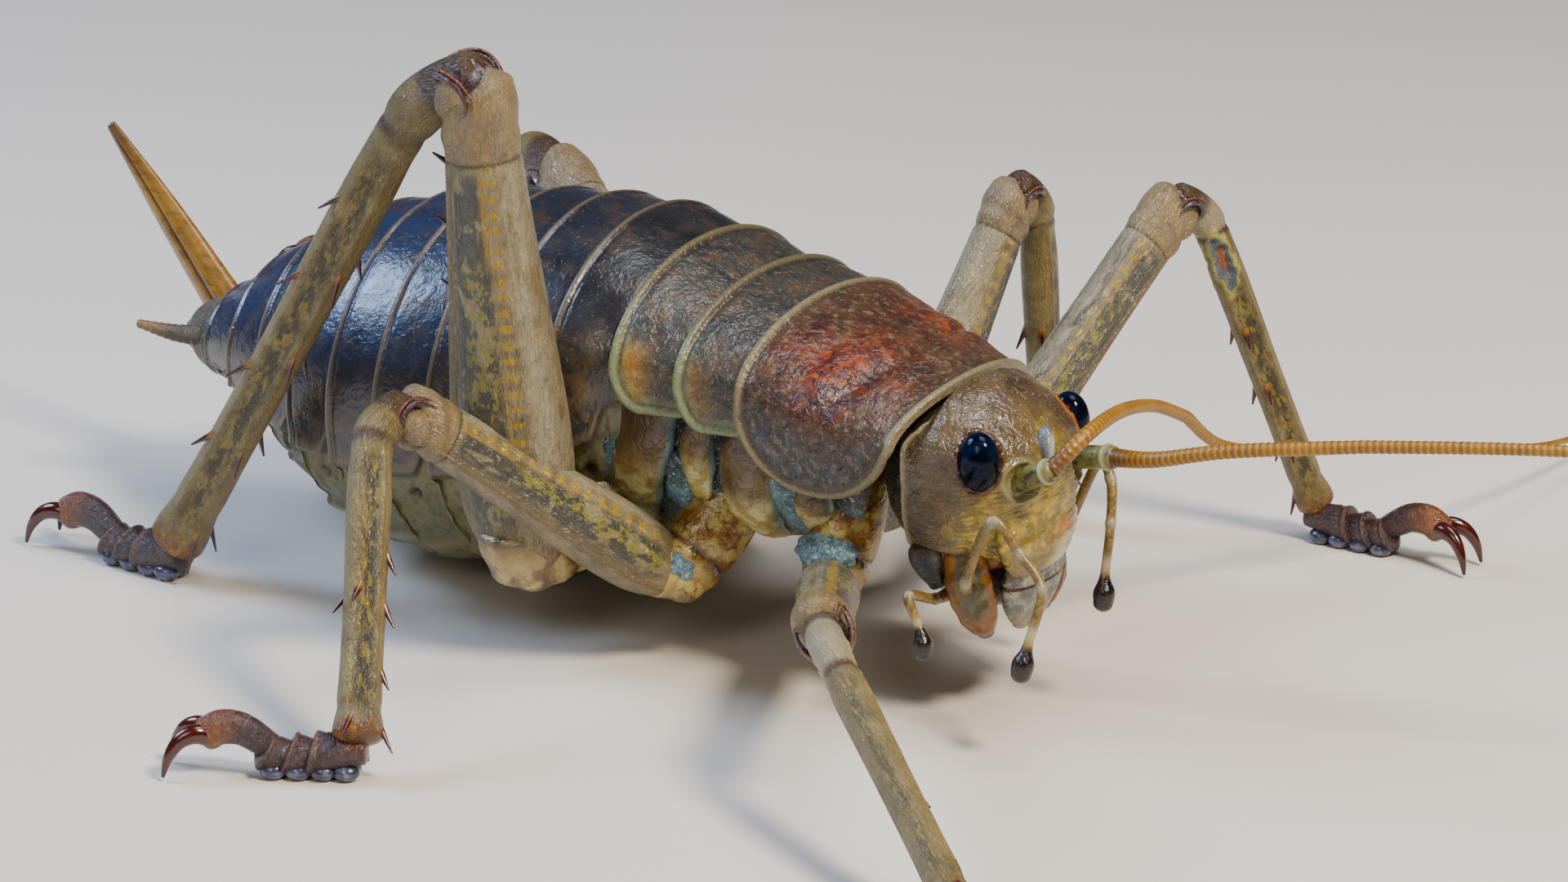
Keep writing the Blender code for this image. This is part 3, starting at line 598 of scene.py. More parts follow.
def makeEye(name, direction):
    ex, ey, ez = headLook["eye"]
    a, b, c = headLook["eyeHalf"]
    turn = math.radians(headLook["turn"])
    centre = headPlace((direction * ex, ey, ez))
    across = np.array([math.cos(turn), math.sin(turn), 0])
    forward = np.array([-math.sin(turn), math.cos(turn), 0])
    eye = ball(centre, (across * a, forward * b, (0, 0, c)), 72, 96,
               masks=lambda tilt, spin: {"rind": ease(direction * np.cos(spin) * np.sin(tilt), -0.5, -0.8)})
    piece(name, [eye], [eyeCornea], "eye", name)


makeEye("eye_right", -1)
makeEye("eye_left", 1)
print("head and eyes made")

# Flexible pale cuticle of the lip: grey-white, creased, with dark freckles. Its shade layers paint the
# cheek lobes near black with grey mottles, as painted shade.
lipCuticle = cuticle("pale lip cuticle", {
    "tones": ("#6f6e66", "#a39c88"), "patch": 0.8, "roughness": 0.36, "coat": 0.35,
    "layers": (
        # Painted shade on the cheek lobes: near black, mottled grey.
        ("shade", "#121316", 0.92), ("shade", "#3f4046", 0.6, 0.9, 0.56, 0.1),
        (None, "#3d414b", 0.75, 0.9, 0.54, 0.08), (None, "#241e1e", 0.8, 0.35, 0.64, 0.04),
        ("seam", "#7c3918", 0.7), ("low", "#ab9668", 0.5), ("rust", "#40260a", 0.85),
    ),
    "relief": ((0.3, 0.07, "creases"), (0.1, 0.012, "noise")),
})

# Moist dark skin inside the mouth.
mouthSkin = cuticle("moist mouth skin", {
    "tones": ("#1a0d08", "#34170d"), "patch": 1.2, "roughness": 0.3, "coat": 0.4,
    "layers": (("seam", "#6e2b0c", 0.6, 0.7, 0.6, 0.08),),
    "relief": ((0.35, 0.05, "creases"),),
})

# Hard tanned jaw: translucent orange-brown toward its edge, nearly black at the teeth.
jawChitin = cuticle("tanned jaw chitin", {
    "tones": ("#2a2410", "#4b401e"), "patch": 1.2, "roughness": 0.24, "coat": 0.3,
    "coatRoughness": 0.12,
    "layers": (
        (None, "#5c5a34", 0.7, 0.8, 0.56, 0.1), ("edge", "#643a02", 0.95),
        ("edge", "#8a5a02", 0.7, 0.8, 0.55, 0.1), ("teeth", "#160b06", 0.95),
    ),
    "relief": ((0.5, 0.03, "noise"), (0.14, 0.015, "noise")),
})

mouth = {
    # The lip's y at its top, the level of the top, and how far it leans back a millimetre down.
    "lean": (-0.9, 11.2, 0.1),
    # Level, half width and half thickness of the lip.
    "labrum": ((10.4, 3.0, 1.0), (9.0, 3.25, 1.05), (7.7, 2.95, 0.95), (6.6, 2.1, 0.75),
               (6.1, 1.5, 0.6)),
    # x, y, level, half width and half thickness.
    "mandible": ((4.0, 1.8, 11.2, 1.1, 1.4), (4.1, 1.3, 9.2, 1.35, 1.5), (3.8, 0.9, 7.6, 1.25, 1.35),
                 (3.4, 0.7, 6.5, 0.9, 1.0), (3.1, 0.6, 5.9, 0.5, 0.6)),
    "cheek": ((4.6, 3.9, 11.0, 0.95, 1.4), (4.6, 3.6, 9.7, 0.85, 1.1), (4.4, 3.3, 8.9, 0.55, 0.7)),
    # Across and along from the jaw's middle, the side that shows between lip and cheek.
    "jawFace": (0.84, -0.54),
    "tongue": (0, 1.6, 8.9), "tongueAxes": ((3.4, 0, 0), (0, 2.0, 0), (0, 0, 2.2)),
}


def makeMouth():
    place, top, lean = mouth["lean"]
    stops = headStops((0, place + (top - level) * lean, level, *sizes)
                      for level, *sizes in mouth["labrum"])

    def lipRelief(share, turn, along):
        fold = -0.22 * hump(share, 0.34, 0.03) + 0.12 * hump(share, 0.28, 0.04)
        notch = -0.3 * hump(np.abs(np.sin(turn)), 1, 0.15) * ease(share, 0.8, 1.0)
        return fold + notch + 0.1 * np.cos(2 * turn) * ease(share, 0.3, 0.6)

    lip = tube(stops, (1, 0, 0), 90, 90, (0.2, 0.35), lipRelief,
               lambda share, turn, along: {"seam": hump(share, 0.34, 0.03),
                                           "low": ease(share, 0.6, 1.0)})
    # The dark tongue that fills the mouth behind the lip and the jaws.
    tongue = ball(headPlace(mouth["tongue"]), mouth["tongueAxes"], 30, 40,
                  masks=lambda tilt, spin: {"seam": 1.0}, finish=1)
    piece("labrum", [lip, tongue], [lipCuticle, mouthSkin], "labrum", "labrum")
    across, ahead = mouth["jawFace"]
    for name, direction in (("mandible_right", -1), ("mandible_left", 1)):

        def facing(turn):
            return np.cos(turn) * direction * across + np.sin(turn) * ahead

        jaw = tube(headStops(mouth["mandible"], direction), (1, 0, 0), 96, 80, (0.0, 0.8),
                   lambda share, turn, along: (0.1 * hump(facing(turn), 0.5, 0.14)
                                               - 0.16 * ease(facing(turn), 0.7, 1.0)
                                               + 0.03 * np.sin(along * 5 + 2 * turn))
                   * ease(share, 0.95, 0.7),
                   lambda share, turn, along: {
                       "edge": np.clip(ease(facing(turn), 0.88, 0.72)
                                       + ease(share, 0.6, 0.85), 0, 1),
                       "teeth": ease(share, 0.97, 1.06)})
        # The cheek lobe beside each jaw, painted near black all over as painted shade.
        lobe = tube(headStops(mouth["cheek"], direction), (1, 0, 0), 60, 60, (0.3, 0.8),
                    lambda share, turn, along: 0.12 * np.sin(along * 2.6) + 0.1 * np.cos(5 * turn),
                    lambda share, turn, along: {"shade": 1.0, "rust": ease(share, 0.3, 0.1)}, 1)
        piece(name, [jaw, lobe], [jawChitin, lipCuticle], "mandible", name)


makeMouth()

# Thin pale cuticle of the palps: straw coloured with brown freckles, whitish joints, dark soft tips.
palpCuticle = cuticle("palp cuticle", {
    "tones": ("#6f5626", "#9a7f40"), "patch": 1.0, "roughness": 0.28, "coat": 0.2, "soft": 0.05,
    "layers": (
        (None, "#4f3d1e", 0.7, 0.5, 0.54, 0.07), ("joint", "#a3a78d", 0.85),
        ("collar", "#b5a783", 0.85),
        ("bulb", "#0d080c", 0.98, {"roughness": 0.16}),
    ),
    "relief": ((0.3, 0.012, "creases"), (0.1, 0.006, "noise")),
})

palps = {
    "palp_maxillary_right": (
        (-5.6, 1.6, 8.6, 0.75), (-8.0, 0.6, 10.0, 0.5), (-8.6, -1.4, 14.4, 0.5), (-8.2, -3.2, 12.6, 0.45),
        (-8.4, -4.8, 10.8, 0.45), (-9.4, -4.6, 7.7, 0.5), (-9.7, -4.5, 6.6, 0.8), (-9.8, -4.4, 5.9, 0.75),
    ),
    "palp_maxillary_left": (
        (1.8, 1.4, 8.6, 0.75), (3.2, 0.0, 10.4, 0.5), (2.8, -2.2, 15.0, 0.5), (2.4, -3.4, 14.2, 0.5),
        (1.4, -4.0, 11.8, 0.45), (0.6, -4.2, 9.0, 0.5), (0.4, -4.3, 7.9, 0.8), (0.3, -4.3, 7.2, 0.75),
    ),
    "palp_labial_right": (
        (-4.2, 3.4, 7.8, 0.7), (-6.4, 3.6, 7.8, 0.5), (-9.2, 3.8, 8.8, 0.5), (-9.6, 2.8, 7.2, 0.45),
        (-9.8, 2.4, 6.3, 0.7), (-9.8, 2.4, 5.7, 0.65),
    ),
    "palp_labial_left": (
        (0.4, 3.4, 7.8, 0.7), (2.6, 3.4, 7.8, 0.5), (5.0, 3.4, 8.6, 0.5), (5.6, 2.4, 7.2, 0.45),
        (5.8, 2.0, 6.3, 0.7), (5.8, 2.0, 5.7, 0.65),
    ),
}

# How slim the palps are within the limits of their solids.
palpLook = {"root": 0.8, "shaft": 0.66, "bulb": 0.84}
slimSide = (0.9, 0.1, 0.3)   # the direction of the width of palps, feelers and cerci


def makePalps():
    for name, stops in palps.items():
        travel = travelled(np.array([row[:3] for row in stops]))
        travel /= travel[-1]
        joints = travel[1:-3]
        neck = travel[-3]

        def swell(share, turn, along):
            knob = sum(hump(share, j, 0.013) for j in joints)
            return 0.06 * knob - 0.03 * hump(share, neck, 0.04)

        def marks(share, turn, along):
            return {"joint": 0.7 * np.clip(sum(hump(share, j, 0.02) for j in joints), 0, 1),
                    "bulb": ease(share, neck - 0.005, neck + 0.03),
                    "collar": hump(share, neck - 0.03, 0.03)}

        slim = [palpLook["root"]] + [palpLook["shaft"]] * (len(stops) - 3) + [palpLook["bulb"]] * 2
        thin = [(*row[:3], row[3] * part) for row, part in zip(stops, slim)]
        piece(name, [tube(thin, slimSide, 190, 28, (0.0, 0.95), swell, marks)],
              [palpCuticle], "palp", name)


makePalps()
print("mouth made")

# Ringed flexible cuticle: amber rings with paler bands between, green-grey at the base.
antennaCuticle = cuticle("ringed feeler cuticle", {
    "tones": ("#744400", "#8f5c00"), "patch": 2.0, "roughness": 0.42, "coat": 0.1,
    "layers": (
        ("band", "#b08c1e", 0.7), ("dark", "#4a2403", 0.75), ("base", "#706e36", 0.95),
        ("base", "#2a271d", 0.8, 0.5, 0.56, 0.05), ("cuff", "#b0ad7a", 0.8),
    ),
    "relief": ((0.12, 0.012, "noise"),),
})

feelers = {
    "left": (
        (0.4, -1.4, 16.0, 1.05), (-0.5, -5.0, 16.9, 1.0), (-1.2, -8.2, 17.6, 0.62),
        (-0.9, -13.0, 19.0, 0.55), (1.2, -20.6, 20.2, 0.5), (4.2, -31.0, 21.2, 0.45),
        (9.0, -45.0, 21.6, 0.4), (17.0, -60.0, 19.0, 0.35), (28.0, -73.0, 12.6, 0.3),
        (35.0, -80.0, 7.2, 0.25),
    ),
    "right": (
        (-5.0, -1.0, 15.9, 1.05), (-5.8, -3.7, 17.3, 0.95), (-3.3, -4.8, 19.2, 0.6),
        (2.3, -4.0, 18.9, 0.55), (7.7, -3.4, 17.6, 0.5), (12.8, -3.0, 15.4, 0.5),
        (17.7, -2.9, 12.2, 0.45), (23.0, -4.4, 10.5, 0.42), (28.0, -7.6, 9.9, 0.4),
        (34.4, -9.8, 8.5, 0.36), (42.5, -10.6, 6.4, 0.32), (52.0, -10.8, 4.0, 0.28),
        (60.0, -10.8, 2.6, 0.25),
    ),
    "divisions": {"left": (0, 1, 4, 6, 9), "right": (0, 1, 5, 8, 12)},
    "ringSpacing": 0.42, "ringHeight": 0.04,
    # How slim they are within the limits of their solids.
    "slim": {"scape": (0.72, 0.7), "base": 0.58, "whip": 0.8},
}


def makeFeelers():
    spacing = feelers["ringSpacing"]
    for which in ("left", "right"):
        stops = [(*row[:3], row[3] * feelers["slim"]["whip"]) for row in feelers[which]]
        divisions = feelers["divisions"][which]
        for number, (first, last) in enumerate(zip(divisions, divisions[1:])):
            name = "antenna_%s_%s" % (which, "scape" if number == 0 else number)
            span = stops[first:last + 1]
            length = sum(math.dist(a[:3], b[:3]) for a, b in zip(span, span[1:]))
            if number == 0:
                # The scape: a stout barrel with a collar at its outer end.
                span = [(*feelers[which][k][:3], feelers[which][k][3] * part)
                        for k, part in enumerate(feelers["slim"]["scape"])]
                part = tube(span, slimSide, 80, 48, (0.3, 0.5),
                            lambda share, turn, along: 0.14 * hump(share, 0.9, 0.06)
                            - 0.12 * hump(share, 0.12, 0.08) - 0.08 * hump(share, 0.8, 0.03),
                            lambda share, turn, along: {"base": 1.0, "cuff": hump(share, 0.92, 0.06)})
            else:
                def rings(share, turn, along):
                    wave = 0.5 - 0.5 * np.cos(2 * math.pi * along / spacing)
                    return feelers["ringHeight"] * (wave ** 0.6 - 0.7)

                def bands(share, turn, along):
                    wave = 0.5 + 0.5 * np.cos(2 * math.pi * along / spacing)
                    return {"band": wave ** 2, "dark": ease(along, 2.4, 0.6) if number == 1 else 0.0}

                if number == 1:
                    first = feelers[which][1]
                    span = [(*first[:3], first[3] * feelers["slim"]["base"]), *span[1:]]
                rows = int(length / spacing * 7) + 8
                ending = 0.9 if last == len(stops) - 1 else 0.0
                part = tube(span, slimSide, rows, 16, (0.0, ending), rings, bands)
            piece(name, [part], [antennaCuticle], "antenna", name)


makeFeelers()
print("feelers made")

# The body's sections, which the shields, the side plates and the rings follow.
bodyStations = (   # y, shift in x, half width, widest level, top, bottom
    (4.0, -1.2, 8.6, 17.0, 21.2, 8.5), (10.0, -0.6, 9.6, 18.4, 22.4, 7.4),
    (15.8, 0.0, 10.4, 19.2, 23.7, 6.0), (20.0, 0.0, 10.6, 19.4, 24.5, 5.2),
    (24.6, 0.0, 11.0, 19.2, 25.8, 4.4), (29.0, 0.0, 11.9, 17.0, 26.8, 3.4),
    (35.0, 0.0, 12.8, 14.6, 26.6, 1.9), (42.0, 0.0, 12.9, 13.2, 25.6, 1.0),
    (49.0, 0.0, 11.4, 12.6, 23.8, 2.0), (55.0, 0.0, 8.8, 12.6, 21.0, 5.6),
    (60.0, 0.0, 5.9, 12.4, 17.4, 8.6), (64.0, 0.0, 3.2, 12.0, 14.4, 9.9),
)
bodyFine = smooth(bodyStations, 8)


def bodyGrid(y, angle, inset):
    # Points of the body's section at these angles from the top.
    shift, half, middle, top, bottom = (np.interp(y, bodyFine[:, 0], bodyFine[:, k])
                                        for k in range(1, 6))
    rise = np.where(np.abs(angle) < math.pi / 2, top - middle, middle - bottom)
    x = shift + (half - inset) * np.sin(angle)
    return np.stack([x, y + 0 * x, middle + (rise - inset) * np.cos(angle)], -1)


# Thick cuticle of the neck shield: red-brown marbled with purple-black, under a dull wax.
shieldCuticle = cuticle("marbled shield cuticle", {
    "tones": ("#2b2019", "#503a29"), "patch": 2.6, "roughness": 0.36, "coat": 0.25,
    "coatRoughness": 0.22, "specular": 0.4, "swirl": 0.8,
    "layers": (
        ("blush", "#7a2700", 0.95, 2.4, 0.45, 0.14, {"swirl": 0.6}),
        ("blush", "#ab4800", 0.75, 0.9, 0.56, 0.08, {"swirl": 0.8}),
        ("vein", "#1b0f26", 0.9, 1.4, 0.5, 0.1, {"swirl": 1.2}),
        ("dusk", "#26262f", 0.85), ("dusk", "#565663", 0.6, 1.0, 0.55, 0.1),
        ("dusk", "#8b8d90", 0.4, (0.9, 0.22, 0.7), 0.62, 0.05, {"swirl": 1.6}),
        (None, "#816d4b", 0.45, 0.5, 0.6, 0.06), (None, "#b5985c", 0.5, 0.16, 0.68, 0.04),
        ("rim", "#817558", 0.9, {"roughness": 0.38}),
        # Painted shade in the groove inside the rim.
        ("furrow", "#433c2f", 0.7),
    ),
    "relief": ((0.8, 0.05, "creases"), (0.2, 0.015, "noise"), (1.6, 0.16, "noise")),
})

# Dark cuticle of the two rear shields: slate with a brown bloom and olive borders.
slateCuticle = cuticle("slate shield cuticle", {
    "tones": ("#23262a", "#403d35"), "patch": 2.2, "roughness": 0.32, "coat": 0.35,
    "coatRoughness": 0.28,
    "layers": (
        (None, "#533c29", 0.7, 1.2, 0.57, 0.1), ("amber", "#976707", 0.85),
        ("amber", "#b49f41", 0.6, 0.9, 0.55, 0.08), (None, "#7d7865", 0.45, 0.3, 0.64, 0.05),
        ("rim", "#675c40", 0.9, {"roughness": 0.38}),
        # Painted shade in the groove inside the rim.
        ("rimLow", "#7b8a62", 0.75), ("furrow", "#282821", 0.7),
    ),
    "relief": ((0.6, 0.035, "creases"), (0.16, 0.01, "noise"), (1.4, 0.1, "noise")),
})

plates = {
    "thickness": 0.45, "step": 0.6, "collar": 0.22, "rimWidth": 0.5, "rimHeight": 0.12,
    "rows": 104, "cols": 230,
    # Front, rear, lowest level, how much its corners rise and how far its front sweeps back.
    "pronotum": (4.0, 15.8, 13.4, 5.4, 1.4),
    "mesonotum": (16.1, 20.1, 16.4, 3.4, 0.0),
    "metanotum": (20.4, 24.6, 16.9, 3.2, 0.0),
}


def makePlate(name, finish, slot, tuck):
    front, rear, lowest, rise, sweep = plates[name]
    # tuck is how far the front reaches under the shield before it.
    y = np.linspace(front - tuck, rear, plates["rows"])[:, None]
    share = np.clip((y - front) / (rear - front), 0, 1)
    inset = plates["step"] * (1 - share) + 0.4 * np.clip(front - y, 0, None)
    if name == "pronotum":
        # The front of the neck shield flares into a collar over the head.
        inset = plates["step"] * (1 - share) - plates["collar"] * hump(share, 0.0, 0.06)
    middle, bottom = (np.interp(y, bodyFine[:, 0], bodyFine[:, k]) for k in (3, 5))
    bend = np.abs(2 * share - 1) if name == "pronotum" else np.clip(2 * share - 1, 0, 1)
    edge = lowest + rise * (1 - np.sqrt(1 - 0.995 * bend ** 2))
    reach = np.arccos(np.clip((edge - middle) / (middle - bottom), -1, 1))
    across = np.linspace(-1, 1, plates["cols"])[None]
    outer = bodyGrid(y, reach * across, inset)
    inner = bodyGrid(y, reach * across, inset + plates["thickness"])
    for grid in (outer, inner):
        grid[..., 1] += sweep * (1 - share) * np.minimum(1, np.abs(grid[..., 0]) / 9) ** 2
    border = np.concatenate([outer[-1], outer[:, 0], outer[:, -1]] + ([outer[0]] if not tuck else []))
    tree = KDTree(len(border))
    for number, spot in enumerate(border):
        tree.insert(spot, number)
    tree.balance()
    away = np.array([tree.find(spot)[2] for spot in outer.reshape(-1, 3)]).reshape(outer.shape[:2])
    wide = plates["rimWidth"]
    height = plates["rimHeight"] * np.sin(math.pi * np.clip(away / wide, 0, 1)) ** 0.8
    height -= 0.07 * hump(away, wide * 1.3, wide * 0.4)
    height += (0.12 * ripple(outer, 2.6, 5) + 0.05 * ripple(outer, 0.9, 6)) * ease(away, wide, wide * 2)
    side = np.abs(across) + 0 * share
    if name == "pronotum":
        # Two shallow cross furrows and a pair of dents behind them.
        waver = 0.6 * ripple(outer, 3.0, 8)
        height -= 0.22 * hump(y + waver, 8.2 + 1.2 * side, 0.5) * ease(side, 0.95, 0.6)
        height -= 0.16 * hump(y + waver, 12.0 - 1.0 * side, 0.6) * ease(side, 0.8, 0.4)
        height += 0.18 * hump(y, 10.3, 1.3) * hump(side, 0.4, 0.2)
    grid = outer + outward(outer, False) * height[..., None]
    masks = {
        "rim": ease(away, wide * 1.15, wide * 0.75),
        "rimLow": ease(away, wide * 2.8, wide * 0.7) * ease(side, 0.45, 0.85),
        # This mask paints shade into the groove inside the rim.
        "furrow": hump(away, wide * 1.35, wide * 0.3),
        "blush": hump(side, 0.4, 0.27) * hump(share, 0.52, 0.27),
        "vein": hump(side, 0.5, 0.35) * hump(share, 0.5, 0.35),
        "dusk": ease(side, 0.72, 0.92) * ease(away, wide, wide * 1.8),
        "amber": ease(side, 0.66, 0.8) * hump(share, 0.72, 0.25) * (1 if name == "metanotum" else 0.35),
    }
    masks = {key: np.clip(value + 0 * side, 0, 1) for key, value in masks.items()}
    # The section runs over the outer face and back under the inner face.
    loop = np.concatenate([grid, inner[:, ::-1]], 1)
    masks = {key: np.concatenate([value, value[:, ::-1] * 0 + (key == "rim")], 1)
             for key, value in masks.items()}
    part = shell(loop, masks, False)
    count = plates["cols"]
    for row, flip in ((0, False), (plates["rows"] - 1, True)):
        # A strip of faces closes the section between the outer and the inner face.
        start = row * 2 * count
        strip = [[start + k, start + k + 1, start + 2 * count - 2 - k, start + 2 * count - 1 - k]
                 for k in range(count - 1)]
        part["faces"] += [face[::-1] for face in strip] if flip else strip
    piece(name, [part], [finish], slot, name)


makePlate("pronotum", shieldCuticle, "pronotum", 0.0)
makePlate("mesonotum", slateCuticle, "thorax_plate", 2.2)
makePlate("metanotum", slateCuticle, "thorax_plate", 2.0)
print("thorax plates made")

# Tan side plates: smooth leathery cuticle, brown above and yellow-olive below, with painted shade darkening
# the upper end nearly to black under the shields.
sideCuticle = cuticle("tan side cuticle", {
    "tones": ("#4f3c1e", "#7a6436"), "patch": 2.0, "roughness": 0.34, "coat": 0.45,
    "layers": (
        # upper is painted shade at the upper end of each plate.
        ("upper", "#24170c", 0.9), ("lower", "#ab9d4c", 0.9),
        ("lower", "#d8d29c", 0.75, 1.1, 0.5, 0.1), (None, "#7d4c06", 0.6, 0.8, 0.6, 0.07),
        (None, "#33261a", 0.5, 0.3, 0.66, 0.05), ("margin", "#5f8084", 0.75),
    ),
    "relief": ((0.7, 0.04, "creases"), (0.2, 0.01, "noise")),
})

# Soft joint membrane: blue-grey, finely wrinkled, a little moist. Its shade layer is painted shade, near
# black over the core of the thorax under the plates and on the upper ends of the folds.
jointMembrane = cuticle("soft joint membrane", {
    "tones": ("#47697a", "#7fabbd"), "patch": 0.9, "roughness": 0.32, "coat": 0.5, "soft": 0.1,
    "layers": (
        # shade is painted shade, near black.
        (None, "#2b3840", 0.6, 0.7, 0.56, 0.09), ("shade", "#15130f", 0.95),
        ("tan", "#6e5930", 0.9), (None, "#bfd8e0", 0.7, 0.25, 0.62, 0.05),
    ),
    "relief": ((0.35, 0.09, "creases"), (0.12, 0.03, "noise")),
})

sidePlates = {   # y, angle from the top, half width along the body, half thickness
    "metapleuron": ((22.0, 92, 1.5, 0.7), (22.9, 104, 1.9, 1.0), (24.3, 119, 2.0, 1.1),
                    (25.2, 133, 1.7, 0.9), (25.2, 144, 1.0, 0.6)),
    "mesepimeron": ((19.2, 98, 0.8, 0.6), (19.6, 108, 1.1, 0.8), (20.0, 119, 1.1, 0.8),
                    (20.2, 129, 0.7, 0.6)),
    "mesopleuron": ((15.8, 97, 1.4, 0.7), (16.0, 110, 1.9, 1.1), (16.6, 126, 2.0, 1.2),
                    (16.9, 141, 1.6, 1.0), (16.6, 152, 1.0, 0.6)),
    "propleuron": ((11.6, 118, 1.2, 0.6), (12.2, 128, 1.5, 0.8), (12.8, 140, 1.3, 0.7)),
}
membranes = {
    "frontFold": ((13.4, 108, 1.1, 0.5), (13.9, 122, 1.3, 0.7), (14.0, 136, 1.2, 0.6),
                  (13.6, 148, 0.8, 0.5)),
    "middleFold": ((21.4, 116, 0.8, 0.4), (21.8, 130, 1.0, 0.6), (21.8, 144, 0.8, 0.5)),
    "rearFold": ((26.0, 100, 1.0, 0.4), (26.6, 112, 1.4, 0.6), (27.0, 126, 1.3, 0.6),
                 (26.9, 138, 0.9, 0.5)),
}


thoraxCore = {"front": 9.6, "rear": 25.6, "inset": 2.0, "rows": 100, "cols": 170, "folds": 5.0}


def makeThorax():
    front = thoraxCore["front"]
    y = np.linspace(front, thoraxCore["rear"], thoraxCore["rows"])[:, None]
    angle = np.linspace(-math.pi, math.pi, thoraxCore["cols"], endpoint=False)[None]
    grid = bodyGrid(y, angle, thoraxCore["inset"])
    height = 0.2 * ripple(grid, 1.8, 11) + 0.08 * ripple(grid, 0.7, 12)
    below = ease(np.abs(angle), 2.3, 2.7)
    height += 0.35 * below * np.abs(np.sin((y - front) / thoraxCore["folds"] * math.pi)) ** 0.5
    grid = grid + outward(grid) * height[..., None]
    # The core is painted near black above the belly, as painted shade between and under the plates.
    parts = [shell(grid, {"tan": below, "shade": ease(np.abs(angle), 2.5, 2.2)})]
    for group, finish in ((sidePlates, 1), (membranes, 0)):
        for stops in group.values():
            for direction in (-1, 1):
                path = []
                for row, turn, half, thick in stops:
                    spot = bodyGrid(np.array(row), np.array(direction * math.radians(turn)), 1.7)
                    path.append((*spot, half, thick))

                def marks(share, turn, along):
                    # upper darkens the upper end of each side plate nearly to black as painted shade under
                    # the shields.
                    return {"upper": ease(share, 0.5, 0.15), "lower": ease(share, 0.45, 0.7),
                            # shade darkens the upper end of each fold as painted shade under the shields.
                            "shade": 0.6 * ease(share, 0.6, 0.1),
                            "margin": ease(np.abs(np.cos(turn)), 0.8, 0.97)}

                parts.append(tube(path, (0, 1, 0), 56, 40, (0.5, 0.7),
                                  lambda share, turn, along: 0.06 * np.cos(4 * turn + along * 1.3)
                                  + 0.05 * np.sin(along * 2.7) * np.cos(turn), marks, finish))
    piece("thorax", parts, [jointMembrane, sideCuticle], "thorax", "thorax")


makeThorax()
print("side of the thorax made")

# Polished cuticle of the abdomen rings: blue-black slate that takes a cool sheen; the blue over the tops of
# the rings, strongest on the rear ones, is a painted reflection of a blue sky.
ringCuticle = cuticle("polished abdomen cuticle", {
    "tones": ("#14161c", "#26262a"), "patch": 3.2, "roughness": 0.29, "coat": 0.35,
    "coatRoughness": 0.22,
    "layers": (
        # Painted sheen: a blue reflection over the tops of the rings.
        ("bloom", "#1b2c50", 0.9, 3.0, 0.42, 0.2), (None, "#433327", 0.6, 2.0, 0.58, 0.1),
        ("flank", "#604825", 0.8, 1.2, 0.5, 0.14),
        ("fold", "#706d44", 0.95, {"roughness": 0.5}),
        ("fold", "#474b3d", 0.7, 0.6, 0.56, 0.08),
        ("belly", "#81784f", 0.97, {"roughness": 0.45}),
        ("belly", "#2d3229", 0.85, 1.6, 0.63, 0.04),
        ("rim", "#645646", 0.85, {"roughness": 0.36}),
        ("pore", "#14110c", 0.95), (None, "#807765", 0.35, 0.25, 0.67, 0.04),
    ),
    "relief": ((0.7, 0.014, "creases"), (0.2, 0.006, "noise"), (2.0, 0.08, "noise")),
})

abdomen = {
    "front": bodyFront, "rear": bodyRear, "count": 9, "gap": 0.3, "step": 0.6, "tuck": 0.8,
    "rows": 48, "tuckRows": 6, "cols": 260, "lipInset": (0.12, 0.34, 0.75), "lipPush": (0.1, 0.12, 0.06),
    "tergiteEdge": 1.86, "sterniteEdge": 2.42,   # radians from the top
}


